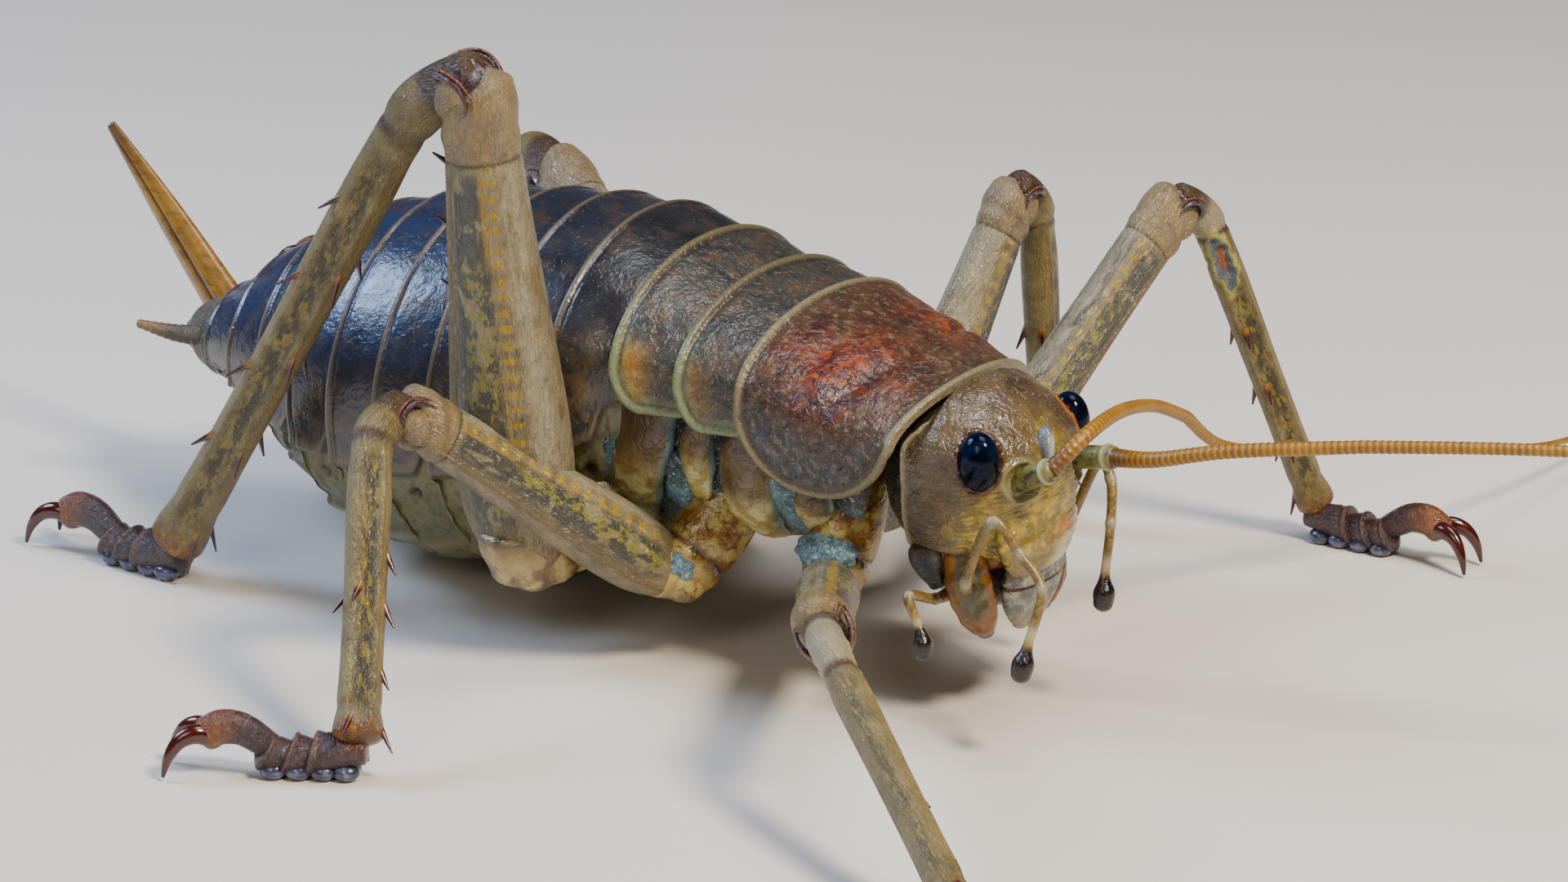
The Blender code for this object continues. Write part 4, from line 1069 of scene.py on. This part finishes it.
def makeAbdomen():
    length = (abdomen["rear"] - abdomen["front"]) / abdomen["count"]
    edge, lower, tuckRows = (abdomen[key] for key in ("tergiteEdge", "sterniteEdge", "tuckRows"))
    for number in range(abdomen["count"]):
        front = abdomen["front"] + number * length
        reach = length - abdomen["gap"]
        # A few rows under the ring before it, its own rows, and three that turn in at its rear.
        share = np.concatenate([np.linspace(-abdomen["tuck"] / reach, 0, tuckRows, endpoint=False),
                                np.linspace(0, 1, abdomen["rows"]), [1.0, 1.0, 1.0]])[:, None]
        level = np.zeros(tuckRows + abdomen["rows"])
        lip = np.concatenate([level, abdomen["lipInset"]])[:, None]
        push = np.concatenate([level, abdomen["lipPush"]])[:, None]
        angle = np.linspace(-math.pi, math.pi, abdomen["cols"], endpoint=False)[None]
        y = front + reach * share + push
        inset = abdomen["step"] * (1 - share) + 0.5 * np.clip(-share, 0, None) * reach + lip
        grid = bodyGrid(y, angle, inset)
        turn = np.abs(angle)
        corner = edge - 0.16 * ease(share, 0.35, 0.0)
        fold = ease(turn, corner, corner + 0.05) * ease(turn, lower + 0.04, lower - 0.03)
        rimSide = hump(turn, corner - 0.03, 0.03) * ease(share, 0.05, 0.3)
        rimRear = ease(share, 0.90, 0.95) * ease(turn, corner + 0.03, corner - 0.02)
        height = -0.42 * fold + 0.14 * rimSide
        height += (0.09 * hump(share, 0.955, 0.035) - 0.05 * hump(share, 0.87, 0.03)) * (1 - fold)
        height += 0.04 * ripple(grid, 2.6, 21 + number) + 0.012 * ripple(grid, (0.5, 1.6, 0.5), 31)
        height += fold * 0.16 * ripple(grid, (0.9, 0.5, 0.9), 33)
        height += 0.1 * hump(turn, 2.85, 0.12) * ease(share, 0.1, 0.3) * ease(share, 1.0, 0.8)
        # The breathing pore in the soft fold of the flank.
        pore = np.hypot((turn - edge - 0.16) / 0.05, (share - 0.42) / 0.12)
        height += 0.2 * hump(pore, 1.3, 0.5) - 0.3 * hump(pore, 0, 0.7)
        grid = grid + outward(grid) * height[..., None]
        masks = {
            "fold": fold, "belly": ease(turn, lower - 0.03, lower + 0.05),
            "flank": ease(turn, 1.1, 1.7) * (1 - fold) * (1.0 if number < 3 else 0.55),
            # A painted blue sheen over the tops of the rings, full from the fifth ring back.
            "bloom": ease(turn, 1.5, 1.0) * min(1.0, number / 4),
            "rim": np.clip(rimRear + rimSide, 0, 1), "pore": hump(pore, 0, 0.9),
        }
        name = "abdomen_%d" % (number + 1)
        piece(name, [shell(grid, masks)], [ringCuticle], "abdomen", name)


makeAbdomen()
print("abdomen made")

# Thin dark cuticle of the tail plate and its two feelers, brown and lightly downy.
tailCuticle = cuticle("tail cuticle", {
    "tones": ("#433a30", "#60513a"), "patch": 1.2, "roughness": 0.4, "coat": 0.2,
    "layers": ((None, "#27231d", 0.7, 0.6, 0.58, 0.07), ("tip", "#90682e", 0.8)),
    "relief": ((0.3, 0.04, "creases"), (0.1, 0.012, "noise")),
})

# Hard polished blade of the egg-layer: amber brown, darker toward its point.
bladeChitin = cuticle("egg-layer chitin", {
    "tones": ("#815a19", "#9c7022"), "patch": 2.4, "roughness": 0.28, "coat": 0.4,
    "coatRoughness": 0.18,
    "layers": (
        (None, "#603e10", 0.6, (0.4, 2.5, 0.4), 0.56, 0.1), ("tip", "#43240a", 0.75),
        ("seam", "#341e0a", 0.8),
    ),
    "relief": ((0.3, 0.015, "noise"), ((0.2, 1.5, 0.2), 0.02, "noise")),
})

tail = {
    "plate": ((0, 62.2, 12.0, 3.7, 3.0), (0, 64.6, 11.9, 2.9, 2.3), (0, 66.0, 11.6, 1.6, 1.2)),
    "blade": ((0.2, 61.0, 10.4, 1.4, 2.0), (1.2, 65.2, 13.8, 1.0, 1.65), (2.4, 70.8, 18.6, 0.65, 1.2),
              (3.2, 76.4, 23.8, 0.26, 0.42)),
    "cercus": ((2.2, 63.0, 12.4, 0.8), (3.2, 65.6, 12.4, 0.6), (4.0, 68.2, 12.8, 0.3)),
}


def makeTail():
    plate = tube(tail["plate"], (1, 0, 0), 70, 90, (0, 0.6),
                 lambda share, turn, along: 0.06 * np.cos(3 * turn) + 0.08 * hump(share, 0.3, 0.05),
                 lambda share, turn, along: {"tip": ease(share, 0.8, 1.1)})
    piece("tail_plate", [plate], [tailCuticle], "tail", "tail_plate")
    blade = tube(tail["blade"], (1, 0, 0), 160, 64, (0.0, 0.9),
                 lambda share, turn, along: -0.2 * hump(np.sin(turn), 0.0, 0.12) * ease(share, 1.0, 0.8)
                 - 0.05 * hump(np.sin(turn), 0.45, 0.1),
                 lambda share, turn, along: {"tip": ease(share, 0.7, 1.0),
                                             "seam": hump(np.sin(turn), 0.0, 0.1)})
    piece("ovipositor", [blade], [bladeChitin], "ovipositor", "ovipositor")
    for name, direction in (("cercus_right", -1), ("cercus_left", 1)):
        stops = [(direction * row[0], *row[1:]) for row in tail["cercus"]]
        prong = tube(stops, slimSide, 60, 28, (0.0, 0.8),
                     lambda share, turn, along: 0.02 * np.cos(2 * math.pi * along / 0.5),
                     lambda share, turn, along: {"tip": ease(share, 0.5, 1.0)})
        piece(name, [prong], [tailCuticle], "tail", name)


makeTail()
print("tail made")

# Cuticle of the hip: glossy orange-brown, darker in its hollows.
hipCuticle = cuticle("glossy hip cuticle", {
    "tones": ("#5a4211", "#8b6a28"), "patch": 1.3, "roughness": 0.25, "coat": 0.55,
    "coatRoughness": 0.14,
    "layers": (
        ("glow", "#8d5800", 0.8), (None, "#c6b464", 0.75, 1.3, 0.53, 0.1),
        (None, "#2f1d0e", 0.7, 0.6, 0.6, 0.06), ("collar", "#a98f4e", 0.85),
        ("crease", "#32170a", 0.85),
    ),
    "relief": ((0.7, 0.03, "creases"), (0.2, 0.008, "noise")),
})

# Cuticle of the thighs: buff, mottled olive and charcoal, with rows of ochre ticks and a pale band along
# the back, partly its tan and partly a painted sheen.
thighCuticle = cuticle("mottled thigh cuticle", {
    "tones": ("#655938", "#938560"), "patch": 1.8, "roughness": 0.32, "coat": 0.35,
    "coatRoughness": 0.22,
    "layers": (
        ("panel", "#33342f", 0.9, (1.5, 1.0, 1.0), 0.42, 0.05,
         {"space": "leg", "swirl": 0.8, "detail": 2.0}),
        ("blotch", "#807a24", 0.9, (0.62, 0.5, 0.5), 0.54, 0.05,
         {"space": "leg", "swirl": 0.4, "detail": 2.0}),
        ("under", "#464238", 0.7),
        # A pale band along the back of the thigh: partly its tan, partly a painted sheen.
        ("back", "#a69f84", 0.6, (2.4, 0.9, 0.9), 0.44, 0.14, {"space": "leg"}),
        ("tickRow", "#a08000", 0.95, {"ticks": (0.52, 1.07)}),
        ("streak", "#a07c00", 0.9), ("keel", "#6b5628", 0.8), ("kneeCap", "#8a7040", 0.6),
        ("kneeCap", "#6f5d50", 0.6, 1.2, 0.55, 0.1), ("seam", "#342717", 0.8),
        ("base", "#7c4a10", 0.6), (None, "#342f23", 0.4, 0.2, 0.68, 0.04),
    ),
    "relief": (((0.9, 0.25, 0.25), 0.07, "leg creases"), (0.14, 0.015, "noise")),
})

# Hinge cuticle of the knee: dark purple-brown and shiny, with an orange border.
kneeChitin = cuticle("dark hinge chitin", {
    "tones": ("#26151b", "#43211d"), "patch": 0.9, "roughness": 0.24, "coat": 0.5,
    "coatRoughness": 0.12,
    "layers": (("brim", "#6e3a1a", 0.9), (None, "#604f5b", 0.6, 0.5, 0.58, 0.08)),
    "relief": ((0.3, 0.03, "creases"),),
})

# Cuticle of the shins: warm tan with a grooved brown side and specks.
shinCuticle = cuticle("tan shin cuticle", {
    "tones": ("#5d5026", "#867846"), "patch": 2.0, "roughness": 0.36, "coat": 0.18,
    "layers": (
        ("groove", "#34301f", 0.85, (1.3, 0.6, 0.6), 0.45, 0.07, {"space": "leg"}),
        ("groove", "#8f7a1e", 0.8, (1.0, 0.5, 0.5), 0.57, 0.05, {"space": "leg"}),
        ("keel", "#8a7038", 0.7), ("pinch", "#432313", 0.9), ("rust", "#7e420f", 0.7),
        ("pale", "#9c9278", 0.8), ("crease", "#2b1810", 0.75),
        ("foot", "#5a2c04", 0.85, {"roughness": 0.2}),
        ("foot", "#986400", 0.85, 0.8, 0.54, 0.08), ("earRim", "#b5ac52", 0.9),
        ("earDish", "#4e5e6c", 0.95, {"roughness": 0.3}),
        ("earCore", "#a65424", 0.95, {"roughness": 0.3}),
        (None, "#362b1b", 0.5, 0.22, 0.67, 0.04),
    ),
    "relief": (((0.6, 0.2, 0.2), 0.06, "leg creases"), (0.12, 0.012, "noise")),
})

# Thorn chitin: solid, dark red and polished, paler where it leaves the shin.
thornChitin = cuticle("thorn chitin", {
    "tones": ("#340803", "#4e0f04"), "patch": 0.8, "roughness": 0.2, "coat": 0.5,
    "coatRoughness": 0.1,
    "layers": (("root", "#97672b", 0.85), ("tip", "#190606", 0.85)),
    "relief": ((0.2, 0.01, "noise"),),
})

# Cuticle of the foot joints: purple-brown cups with burnt orange brims. On the short joints the brims and
# the orange glow are kept to the upper side, where they are partly a painted highlight.
footCuticle = cuticle("dark foot cuticle", {
    "tones": ("#200d10", "#3e180e"), "patch": 0.9, "roughness": 0.24, "coat": 0.5,
    "coatRoughness": 0.12,
    "layers": (
        # The glow and brim layers are partly a painted highlight on the upper side of the short joints.
        (None, "#3a2c42", 0.6, 0.5, 0.57, 0.08), ("glow", "#6e3600", 0.95),
        ("glow", "#9a5a00", 0.6, 0.5, 0.55, 0.1), ("brim", "#754e1c", 0.7),
    ),
    "relief": ((0.22, 0.04, "creases"), (0.1, 0.015, "noise")),
})

# Foot pads: soft blue-grey cushions with a moist gloss.
padSkin = cuticle("soft foot pad", {
    "tones": ("#262840", "#4c5074"), "patch": 0.8, "roughness": 0.24, "coat": 0.6,
    "coatRoughness": 0.12, "soft": 0.1,
    "layers": ((None, "#7d8597", 0.5, 0.4, 0.6, 0.08),),
    "relief": ((0.15, 0.012, "noise"),),
})

legs = {
    "points": {   # hip, knee, ankle, foot tip
        "fore_right": ((-6.2, 11.3, 7.0), (-22.5, 1.6, 11.5), (-34.6, -15.0, 2.8), (-40.2, -25.4, 0.0)),
        "fore_left": ((8.0, 9.6, 8.6), (25.0, 4.6, 25.6), (35.6, -1.4, 2.8), (36.0, -13.0, 0.0)),
        "middle_right": ((-8.0, 21.5, 5.9), (-21.4, 32.5, 18.5), (-33.6, 26.6, 2.8), (-39.3, 36.4, 0.0)),
        "middle_left": ((10.6, 16.8, 7.0), (21.8, 14.8, 25.4), (27.2, 14.4, 2.8), (33.4, 23.6, 0.0)),
        "hind_right": ((-12.6, 29.8, 6.8), (-17.6, 29.6, 38.9), (-14.4, 56.4, 3.0), (-13.8, 68.8, 0.0)),
        "hind_left": ((12.6, 29.8, 6.8), (28.4, 56.6, 18.4), (43.2, 82.4, 3.0), (42.2, 93.4, 0.0)),
    },
    "sizes": {   # coxa, thigh at its base and knee, shin, foot
        "fore": (2.3, (1.85, 1.95), (1.65, 1.95), 1.2, 1.15),
        "middle": (2.4, (2.1, 2.5), (1.6, 1.9), 1.4, 1.15),
        "hind": (2.9, (3.0, 3.9), (2.1, 2.4), 1.7, 1.3),
    },
    "roots": {"fore": (2.6, 11.6, 13.6), "middle": (3.4, 19.6, 11.6), "hind": (5.0, 27.0, 11.0)},
    "shin": (   # share, size, outward bow
        (0.0, 0.86, 0.0), (0.05, 0.98, 0.55), (0.11, 1.03, 0.95), (0.18, 0.9, 1.0), (0.3, 0.96, 0.85),
        (0.6, 0.9, 0.45), (0.85, 0.92, 0.15), (1.0, 1.06, 0.0),
    ),
    "kneeBow": 1.1, "foldRise": {"fore": 1.35, "middle": 0.3, "hind": 0.3},
    # Where the mottled groove runs on each side of the shin, from -1 to 1 between its two keels.
    "groove": {"fore": 0.38, "middle": -0.38, "hind": 0.12},
    # Share of the shin at which its pale top ends in a dark ring, where that isn't 0.15.
    "neck": {"fore_right": 0.22},
    "thorns": {   # inner row, outer row, length
        "fore": ((0.42, 0.62, 0.80), (), 1.3),
        "middle": ((0.46, 0.62, 0.80), (0.60,), 1.4),
        "hind": ((0.40, 0.58, 0.76), (0.30, 0.46, 0.62, 0.78), 2.1),
    },
    # Degrees from the side of the thigh toward its back at which the row of ticks runs.
    "tickLine": {"fore": -45, "middle": -14, "hind": -33},
    "thornHalf": 0.27, "spurPlace": 0.955, "thornFloor": 0.6, "seed": 7,
    "thighThorns": (0.42, 0.55, 0.68, 0.81), "thighThornLength": 1.3,
}


def unit(vector):
    return vector / np.linalg.norm(vector)


def makeThorn(place, direction, length, finish):
    # A thorn along its direction from a flared root, raised where it would come too near the floor.
    half = legs["thornHalf"]
    short = legs["thornFloor"] - (place[2] + direction[2] * length)
    if short > 0:
        direction = unit(direction + np.array([0, 0, short / length]))
    side = unit(np.cross(direction, [0.3, 0.2, 0.9]))
    stops = [(*(place - direction * half * 1.3), half * 1.05), (*place, half * 0.9),
             (*(place + direction * length * 0.5), half * 0.55),
             (*(place + direction * length), 0.06)]
    return tube(stops, side, 22, 14, (0.0, 0.6), None,
                lambda share, turn, along: {"root": ease(share, 0.45, 0.15),
                                            "tip": ease(share, 0.7, 1.0)}, finish)


def makeHip(leg, row, root, hip, knee, half, thighSize):
    middle = (root + hip) / 2 + np.array([0, 0, -0.4])
    stops = [(*root, half, half), (*middle, half, half), (*hip, half * 0.8, half * 0.8)]
    socket = tube(stops, (0, 1, 0), 80, 64, (0.3, 0.75),
                  lambda share, turn, along: 0.12 * np.cos(3 * turn + 1) * ease(share, 0, 0.5)
                  + 0.12 * hump(share, 0.86, 0.05) - 0.16 * hump(share, 0.76, 0.03),
                  lambda share, turn, along: {
                      "glow": hump(share, 0.55, 0.25), "collar": hump(share, 0.9, 0.06),
                      "crease": hump(share, 0.76, 0.025) + ease(share, 0.14, 0.02)})
    along = unit(knee - hip)
    wide, tall = thighSize
    # The soft fold on the outer side, then the ring that carries the thigh.
    outer = unit((hip - root) * np.array([1, 1, 0]) + 1e-6)
    rise = np.array([0, 0, legs["foldRise"][row]])
    fold = ball(root * 0.14 + hip * 0.86 + outer * half * 0.36 + rise,
                (outer * half * 0.72, np.cross(outer, [0, 0, 1]) * half * 0.86,
                 np.array([0, 0, half * 0.5])), 36, 60,
                lambda tilt, spin: 0.04 * np.sin(9 * tilt + 2 * np.sin(3 * spin))
                + 0.05 * np.cos(7 * spin + 2 * tilt) * np.sin(tilt), None, 1)
    ringStops = [(*(hip - along * wide * 0.2), wide * 0.7, tall * 0.6),
                 (*(hip + along * wide * 0.35), wide * 0.84, tall * 0.72),
                 (*(hip + along * wide * 0.8), wide * 0.86, tall * 0.78)]
    ring = tube(ringStops, np.cross(along, [0, 0, 1]), 30, 48, (0.5, 0.2),
                lambda share, turn, run: 0.1 * hump(share, 0.5, 0.2),
                lambda share, turn, run: {"collar": hump(share, 0.5, 0.3),
                                          "crease": hump(share, 0.95, 0.06)})
    name = "coxa_" + leg
    piece(name, [socket, fold, ring], [hipCuticle, jointMembrane], "coxa", name)


def makeThigh(leg, row, hip, knee, hinge, base, end):
    base, end = np.array(base), np.array(end)
    profile = ((0.0, base * 0.62), (0.1, base * 0.92), (0.28, base), (0.62, base * 0.45 + end * 0.5),
               (0.86, end * 0.97), (0.95, end * 1.02), (1.0, end * 0.96))
    stops = [(*(hip + (knee - hip) * share), *size) for share, size in profile]
    line = legs["tickLine"][row]
    side = 1 if row == "fore" else 0

    def relief(share, turn, along):
        lower, sideways = np.sin(turn), np.abs(np.cos(turn))
        lean = np.degrees(np.arcsin(lower)) - line
        keels = 0.12 * hump(lean, 78, 7) + 0.06 * hump(lower, -1, 0.1)
        channel = -0.1 * hump(lean, 66, 5) - 0.04 * hump(lean, 12, 4)
        swelling = 0.03 * np.cos(2 * math.pi * along / 1.04) * hump(lean, 0, 14)
        seam = -0.1 * hump(share, 0.845, 0.006) + 0.1 * hump(share, 0.885, 0.02) * ease(-lower, 0.2, 0.9)
        knee = 0.12 * hump(share, 0.96, 0.03) * sideways
        return (keels + channel + swelling) * ease(share, 0.02, 0.15) * ease(share, 1.0, 0.88) + knee + seam

    def marks(share, turn, along):
        lower = np.sin(turn)
        lean = np.degrees(np.arcsin(lower)) - line
        clear = ease(share, 0.03, 0.14) * ease(share, 0.85, 0.8)
        return {
            "panel": (ease(lean, 8, 14) + side * ease(lean, -8, -14) * ease(lean, -48, -36))
            * ease(lean, 66, 58) * clear,
            "blotch": ease(lean, 10, 20) * ease(lean, 52, 42) * ease(share, 0.04, 0.14)
            * ease(share, 0.7, 0.6),
            "under": hump(lean, 70, 8) * clear,
            # The pale back band is partly a painted sheen.
            "back": ease(lean, -8, -22),
            "tickRow": ease(np.abs(lean), 9, 6) * ease(share, 0.1, 0.2) * ease(share, 0.9, 0.86),
            "streak": hump(lean, 12, 3) * ease(share, 0.62, 0.68) * ease(share, 0.86, 0.82),
            "keel": hump(lean, 78, 7) + 0.5 * ease(lower, -0.94, -0.99),
            "kneeCap": ease(share, 0.845, 0.855),
            "seam": hump(share, 0.845, 0.005),
            "base": ease(share, 0.1, 0.0),
        }

    along = unit(knee - hip)
    lower = np.cross(hinge, along)
    wide, tall = end

    def slide(share, turn):
        # The lower side of the thigh ends before the knee.
        return -tall * (0.15 + 0.55 * (1 + np.sin(turn))) * ease(share, 0.8, 1.0)

    parts = [tube(stops, hinge, 156, 64, (0.4, 0.45), relief, marks, slide=slide)]
    # The dark hinge between the two lobes.
    parts.append(ball(knee + lower * tall * 0.16 - along * tall * 0.14,
                      (along * tall * 0.56, lower * tall * 0.62, hinge * wide * 0.7), 40, 60,
                      lambda tilt, spin: (0.07 * np.cos(5 * spin) + 0.05 * np.cos(9 * tilt)) * np.sin(tilt),
                      None, 1))
    for direction in (-1, 1):
        # A rounded lobe low on each side of the knee, with a dark crease round it.
        centre = knee + hinge * direction * wide * 0.36 - along * tall * 0.6 + lower * tall * 0.46
        parts.append(ball(centre, (along * tall * 0.7, lower * tall * 0.58,
                                   hinge * direction * wide * 0.5), 34, 48,
                          lambda tilt, spin: 0.04 * np.cos(3 * spin) * np.sin(tilt),
                          lambda tilt, spin: {"kneeCap": 1.0, "keel": 0.6 * hump(tilt, 1.2, 0.2)}))
        for reach, thick, brim in ((0.68, 0.28, 0.0), (0.84, 0.11, 1.0)):
            stops = []
            for step in range(9):
                bend = math.radians(50 + 150 * step / 8)
                across = 0.5 + math.cos(bend) * reach
                spot = (knee - along * tall * (0.55 - math.sin(bend) * reach) + lower * tall * across)
                out = wide * math.sqrt(max(0.05, 1 - across * across)) * 0.98
                width = thick * tall / 2.4 * (1.25 - 0.9 * step / 8)
                stops.append((*(spot + hinge * direction * out), width, width))
            parts.append(tube(stops, hinge, 60, 14, (0.6, 0.6), None,
                              lambda share, turn, run: {"brim": brim}, 1))
    if row == "hind":
        for share in legs["thighThorns"]:
            tallHere = base[1] + (end[1] - base[1]) * share
            place = hip + (knee - hip) * share + lower * tallHere * 0.9
            parts.append(makeThorn(place, unit(lower + along * 0.5), legs["thighThornLength"], 2))
    name = "femur_" + leg
    piece(name, parts, [thighCuticle, kneeChitin, thornChitin], "femur", name)


def makeShin(leg, row, knee, ankle, tip, hinge, inward, half, draw):
    shin = ankle - knee
    bow = half * legs["kneeBow"]
    length = np.linalg.norm(shin)
    stops = [(*(knee + shin * share - inward * bow * bend), half * size * 0.9, half * size)
             for share, size, bend in legs["shin"]]
    ears = row == "fore"
    line = legs["groove"][row]
    neck = legs["neck"].get(leg, 0.15)

    def earField(share, turn, along):
        # How far each point is from the middle of the nearer ear, 1 at its border.
        around = np.minimum(np.abs(turn - 0.62), np.abs(turn - math.pi + 0.62))
        ragged = 0.12 * np.sin(5 * turn + 3 * along) + 0.1 * np.sin(7 * along)
        return np.hypot(around / 0.6, (along - 0.23 * length) / 2.1) + ragged

    def relief(share, turn, along):
        upper = np.sin(turn)
        beside = np.abs(upper - line)
        keels = 0.14 * hump(beside, 0.56, 0.1) - 0.28 * hump(beside, 0, 0.36)
        keels = keels * ease(share, neck - 0.01, neck + 0.1) * ease(share, 1.0, 0.9)
        pinch = -0.12 * hump(share, neck, 0.012)
        foot = 0.1 * hump(share, 0.99, 0.03) - 0.08 * hump(share, 0.93, 0.02)
        result = keels + pinch + foot
        if ears:
            ear = earField(share, turn, along)
            result = result * ease(ear, 0.8, 1.4) + 0.12 * hump(ear, 1.05, 0.2) - 0.3 * ease(ear, 0.9, 0.5)
        return result

    def marks(share, turn, along):
        upper = np.sin(turn)
        clear = ease(share, neck + 0.02, neck + 0.09) * ease(share, 0.99, 0.9)
        result = {
            "groove": (ease(np.abs(upper - line), 0.5, 0.34)
                       + 0.7 * ears * ease(-upper, 0.9, 0.98)) * clear,
            "keel": hump(np.abs(upper - line), 0.78, 0.12) * clear,
            "pinch": hump(share, neck, 0.012) * ease(upper, 0.4, -0.4) + 0.4 * hump(share, neck, 0.02),
            "rust": 0.6 * ease(share, 0.12, 0.02) * (1 - ears),
            "pale": ears * ease(share, neck, neck - 0.02) * ease(share, 0.02, 0.06),
            "crease": ease(share, 0.085, 0.06),
            "foot": ease(share, 0.95, 1.0),
        }
        if ears:
            ear = earField(share, turn, along)
            result.update({"earRim": hump(ear, 1.12, 0.22), "earDish": ease(ear, 1.02, 0.85),
                           "earCore": ease(ear, 0.6, 0.4)})
        return {key: np.clip(value, 0, 1) for key, value in result.items()}

    parts = [tube(stops, hinge, 160, 52, (0.5, 0.5), relief, marks)]
    inner, outer, thornLength = legs["thorns"][row]
    places = [(share, 1, edge, 1.0) for share in inner for edge in (-1, 1)]
    places += [(share, -1, edge, 0.9) for share in outer for edge in (-1, 1)]
    places += [(legs["spurPlace"], facing, edge, 1.5) for facing in (-1, 1) for edge in (-1, 1)]
    along = unit(shin)
    foot = unit(tip - ankle)
    for share, facing, edge, size in places:
        share += draw.uniform(-0.015, 0.015)
        centre = knee + shin * share - inward * bow * (1.15 - 1.15 * share)
        away = unit(inward * facing * 0.8 + hinge * edge * 0.6)
        direction = unit(away * 0.6 + along)
        long = thornLength * size * draw.uniform(0.85, 1.1)
        if share > 0.9 and away @ foot > 0.2:
            continue
        parts.append(makeThorn(centre + away * half * 0.8, direction, long, 1))
    name = "tibia_" + leg
    piece(name, parts, [shinCuticle, thornChitin], "tibia", name)


foot = {
    "joints": (   # start, end, start level, end level, start half, end half
        (-0.03, 0.24, 1.8, 1.55, 0.8, 1.14),
        (0.18, 0.36, 1.4, 1.5, 0.7, 1.12),
        (0.3, 0.48, 1.3, 1.5, 0.68, 1.02),
    ),
    "last": ((0.4, 1.4, 0.56), (0.48, 2.05, 0.74), (0.6, 2.9, 0.86), (0.71, 3.0, 0.92), (0.79, 2.5, 0.84)),
    "pads": (0.06, 0.18, 0.31, 0.44), "padHalf": 0.84,
    "claw": ((0.76, 2.35, 0.10, 0.5), (0.83, 2.75, 0.2, 0.52), (0.91, 2.45, 0.30, 0.42),
             (0.97, 1.5, 0.38, 0.28), (1.0, 0.3, 0.42, 0.1)),
}


def makeFoot(leg, ankle, tip, half):
    ground = np.array([ankle[0], ankle[1], 0.0])
    span = np.array([tip[0], tip[1], 0.0]) - ground
    length = np.linalg.norm(span)
    along = span / length
    across = unit(np.cross(along, [0, 0, 1]))

    def spot(share, level, sideways=0.0):
        return ground + along * length * share + across * sideways + np.array([0, 0, level])

    parts = []
    for start, end, low0, low1, half0, half1 in foot["joints"]:
        both = half0 + half1
        stops = [(*spot(start, low0), half * half0, half * half0),
                 (*spot(start * 0.45 + end * 0.55, (low0 + low1) / 2), half * both * 0.52,
                  half * both * 0.5),
                 (*spot(end, low1), half * half1, half * half1 * 0.98)]
        parts.append(tube(stops, across, 34, 40, (0.3, 0.25),
                          lambda share, turn, run: 0.04 * hump(share, 0.97, 0.05)
                          - 0.05 * hump(share, 0.82, 0.06) + 0.04 * np.cos(2 * turn),
                          # The brim and the glow show only on the upper side: real orange, partly a painted
                          # highlight.
                          lambda share, turn, run: {
                              "brim": hump(share, 0.97, 0.035) * ease(np.sin(turn), -0.5, 0.5),
                              "glow": 0.45 * ease(share, 0.55, 0.1) * ease(np.sin(turn), -0.2, 0.8)},
                          least=0.12,
                          slide=lambda share, turn: -0.42 * np.sin(turn) * ease(share, 0.3, 1.0)))
    stops = [(*spot(share, level), half * size * 0.92, half * size) for share, level, size in foot["last"]]
    parts.append(tube(stops, across, 64, 40, (0.3, 0.6),
                      lambda share, turn, run: 0.05 * hump(share, 0.96, 0.05)
                      - 0.06 * hump(share, 0.04, 0.05) + 0.03 * np.cos(3 * turn),
                      lambda share, turn, run: {"glow": ease(share, 0.45, 0.95)}, least=0.1))
    for share in foot["pads"]:
        size = foot["padHalf"] * half / 1.15
        for sideways in (-0.34, 0.34):
            parts.append(ball(spot(share, size * 0.62, sideways * half),
                              (along * size * 0.98, across * size * 0.86, (0, 0, size * 0.68)),
                              26, 36, finish=1, least=0.0))
    for spread in (-1, 1):
        stops = [(*spot(share, level, spread * wide * length * 0.3), thick, thick * 1.15)
                 for share, level, wide, thick in foot["claw"]]
        parts.append(tube(stops, across, 60, 24, (0.3, 0.6), None,
                          lambda share, turn, run: {"tip": ease(share, 0.75, 1.0),
                                                    "root": 0.25 * ease(share, 0.15, 0.0)}, 2))
    name = "tarsus_" + leg
    piece(name, parts, [footCuticle, padSkin, thornChitin], "tarsus", name)


def makeLegs():
    draw = random.Random(legs["seed"])
    for leg, points in legs["points"].items():
        row, flank = leg.split("_")
        hip, knee, ankle, tip = (np.array(point) for point in points)
        coxa, base, end, shinHalf, footHalf = legs["sizes"][row]
        x, y, z = legs["roots"][row]
        root = np.array([x if flank == "left" else -x, y, z])
        thigh, shin = unit(knee - hip), unit(ankle - knee)
        hinge = unit(np.cross(thigh, shin))
        inward = unit(np.cross(hinge, shin))
        if (hip - knee) @ inward < 0:
            inward = -inward
        makeHip(leg, row, root, hip, knee, coxa, base)
        makeThigh(leg, row, hip, knee, hinge, base, end)
        makeShin(leg, row, knee, ankle, tip, hinge, inward, shinHalf, draw)
        makeFoot(leg, ankle, tip, footHalf)


makeLegs()
print("legs made")
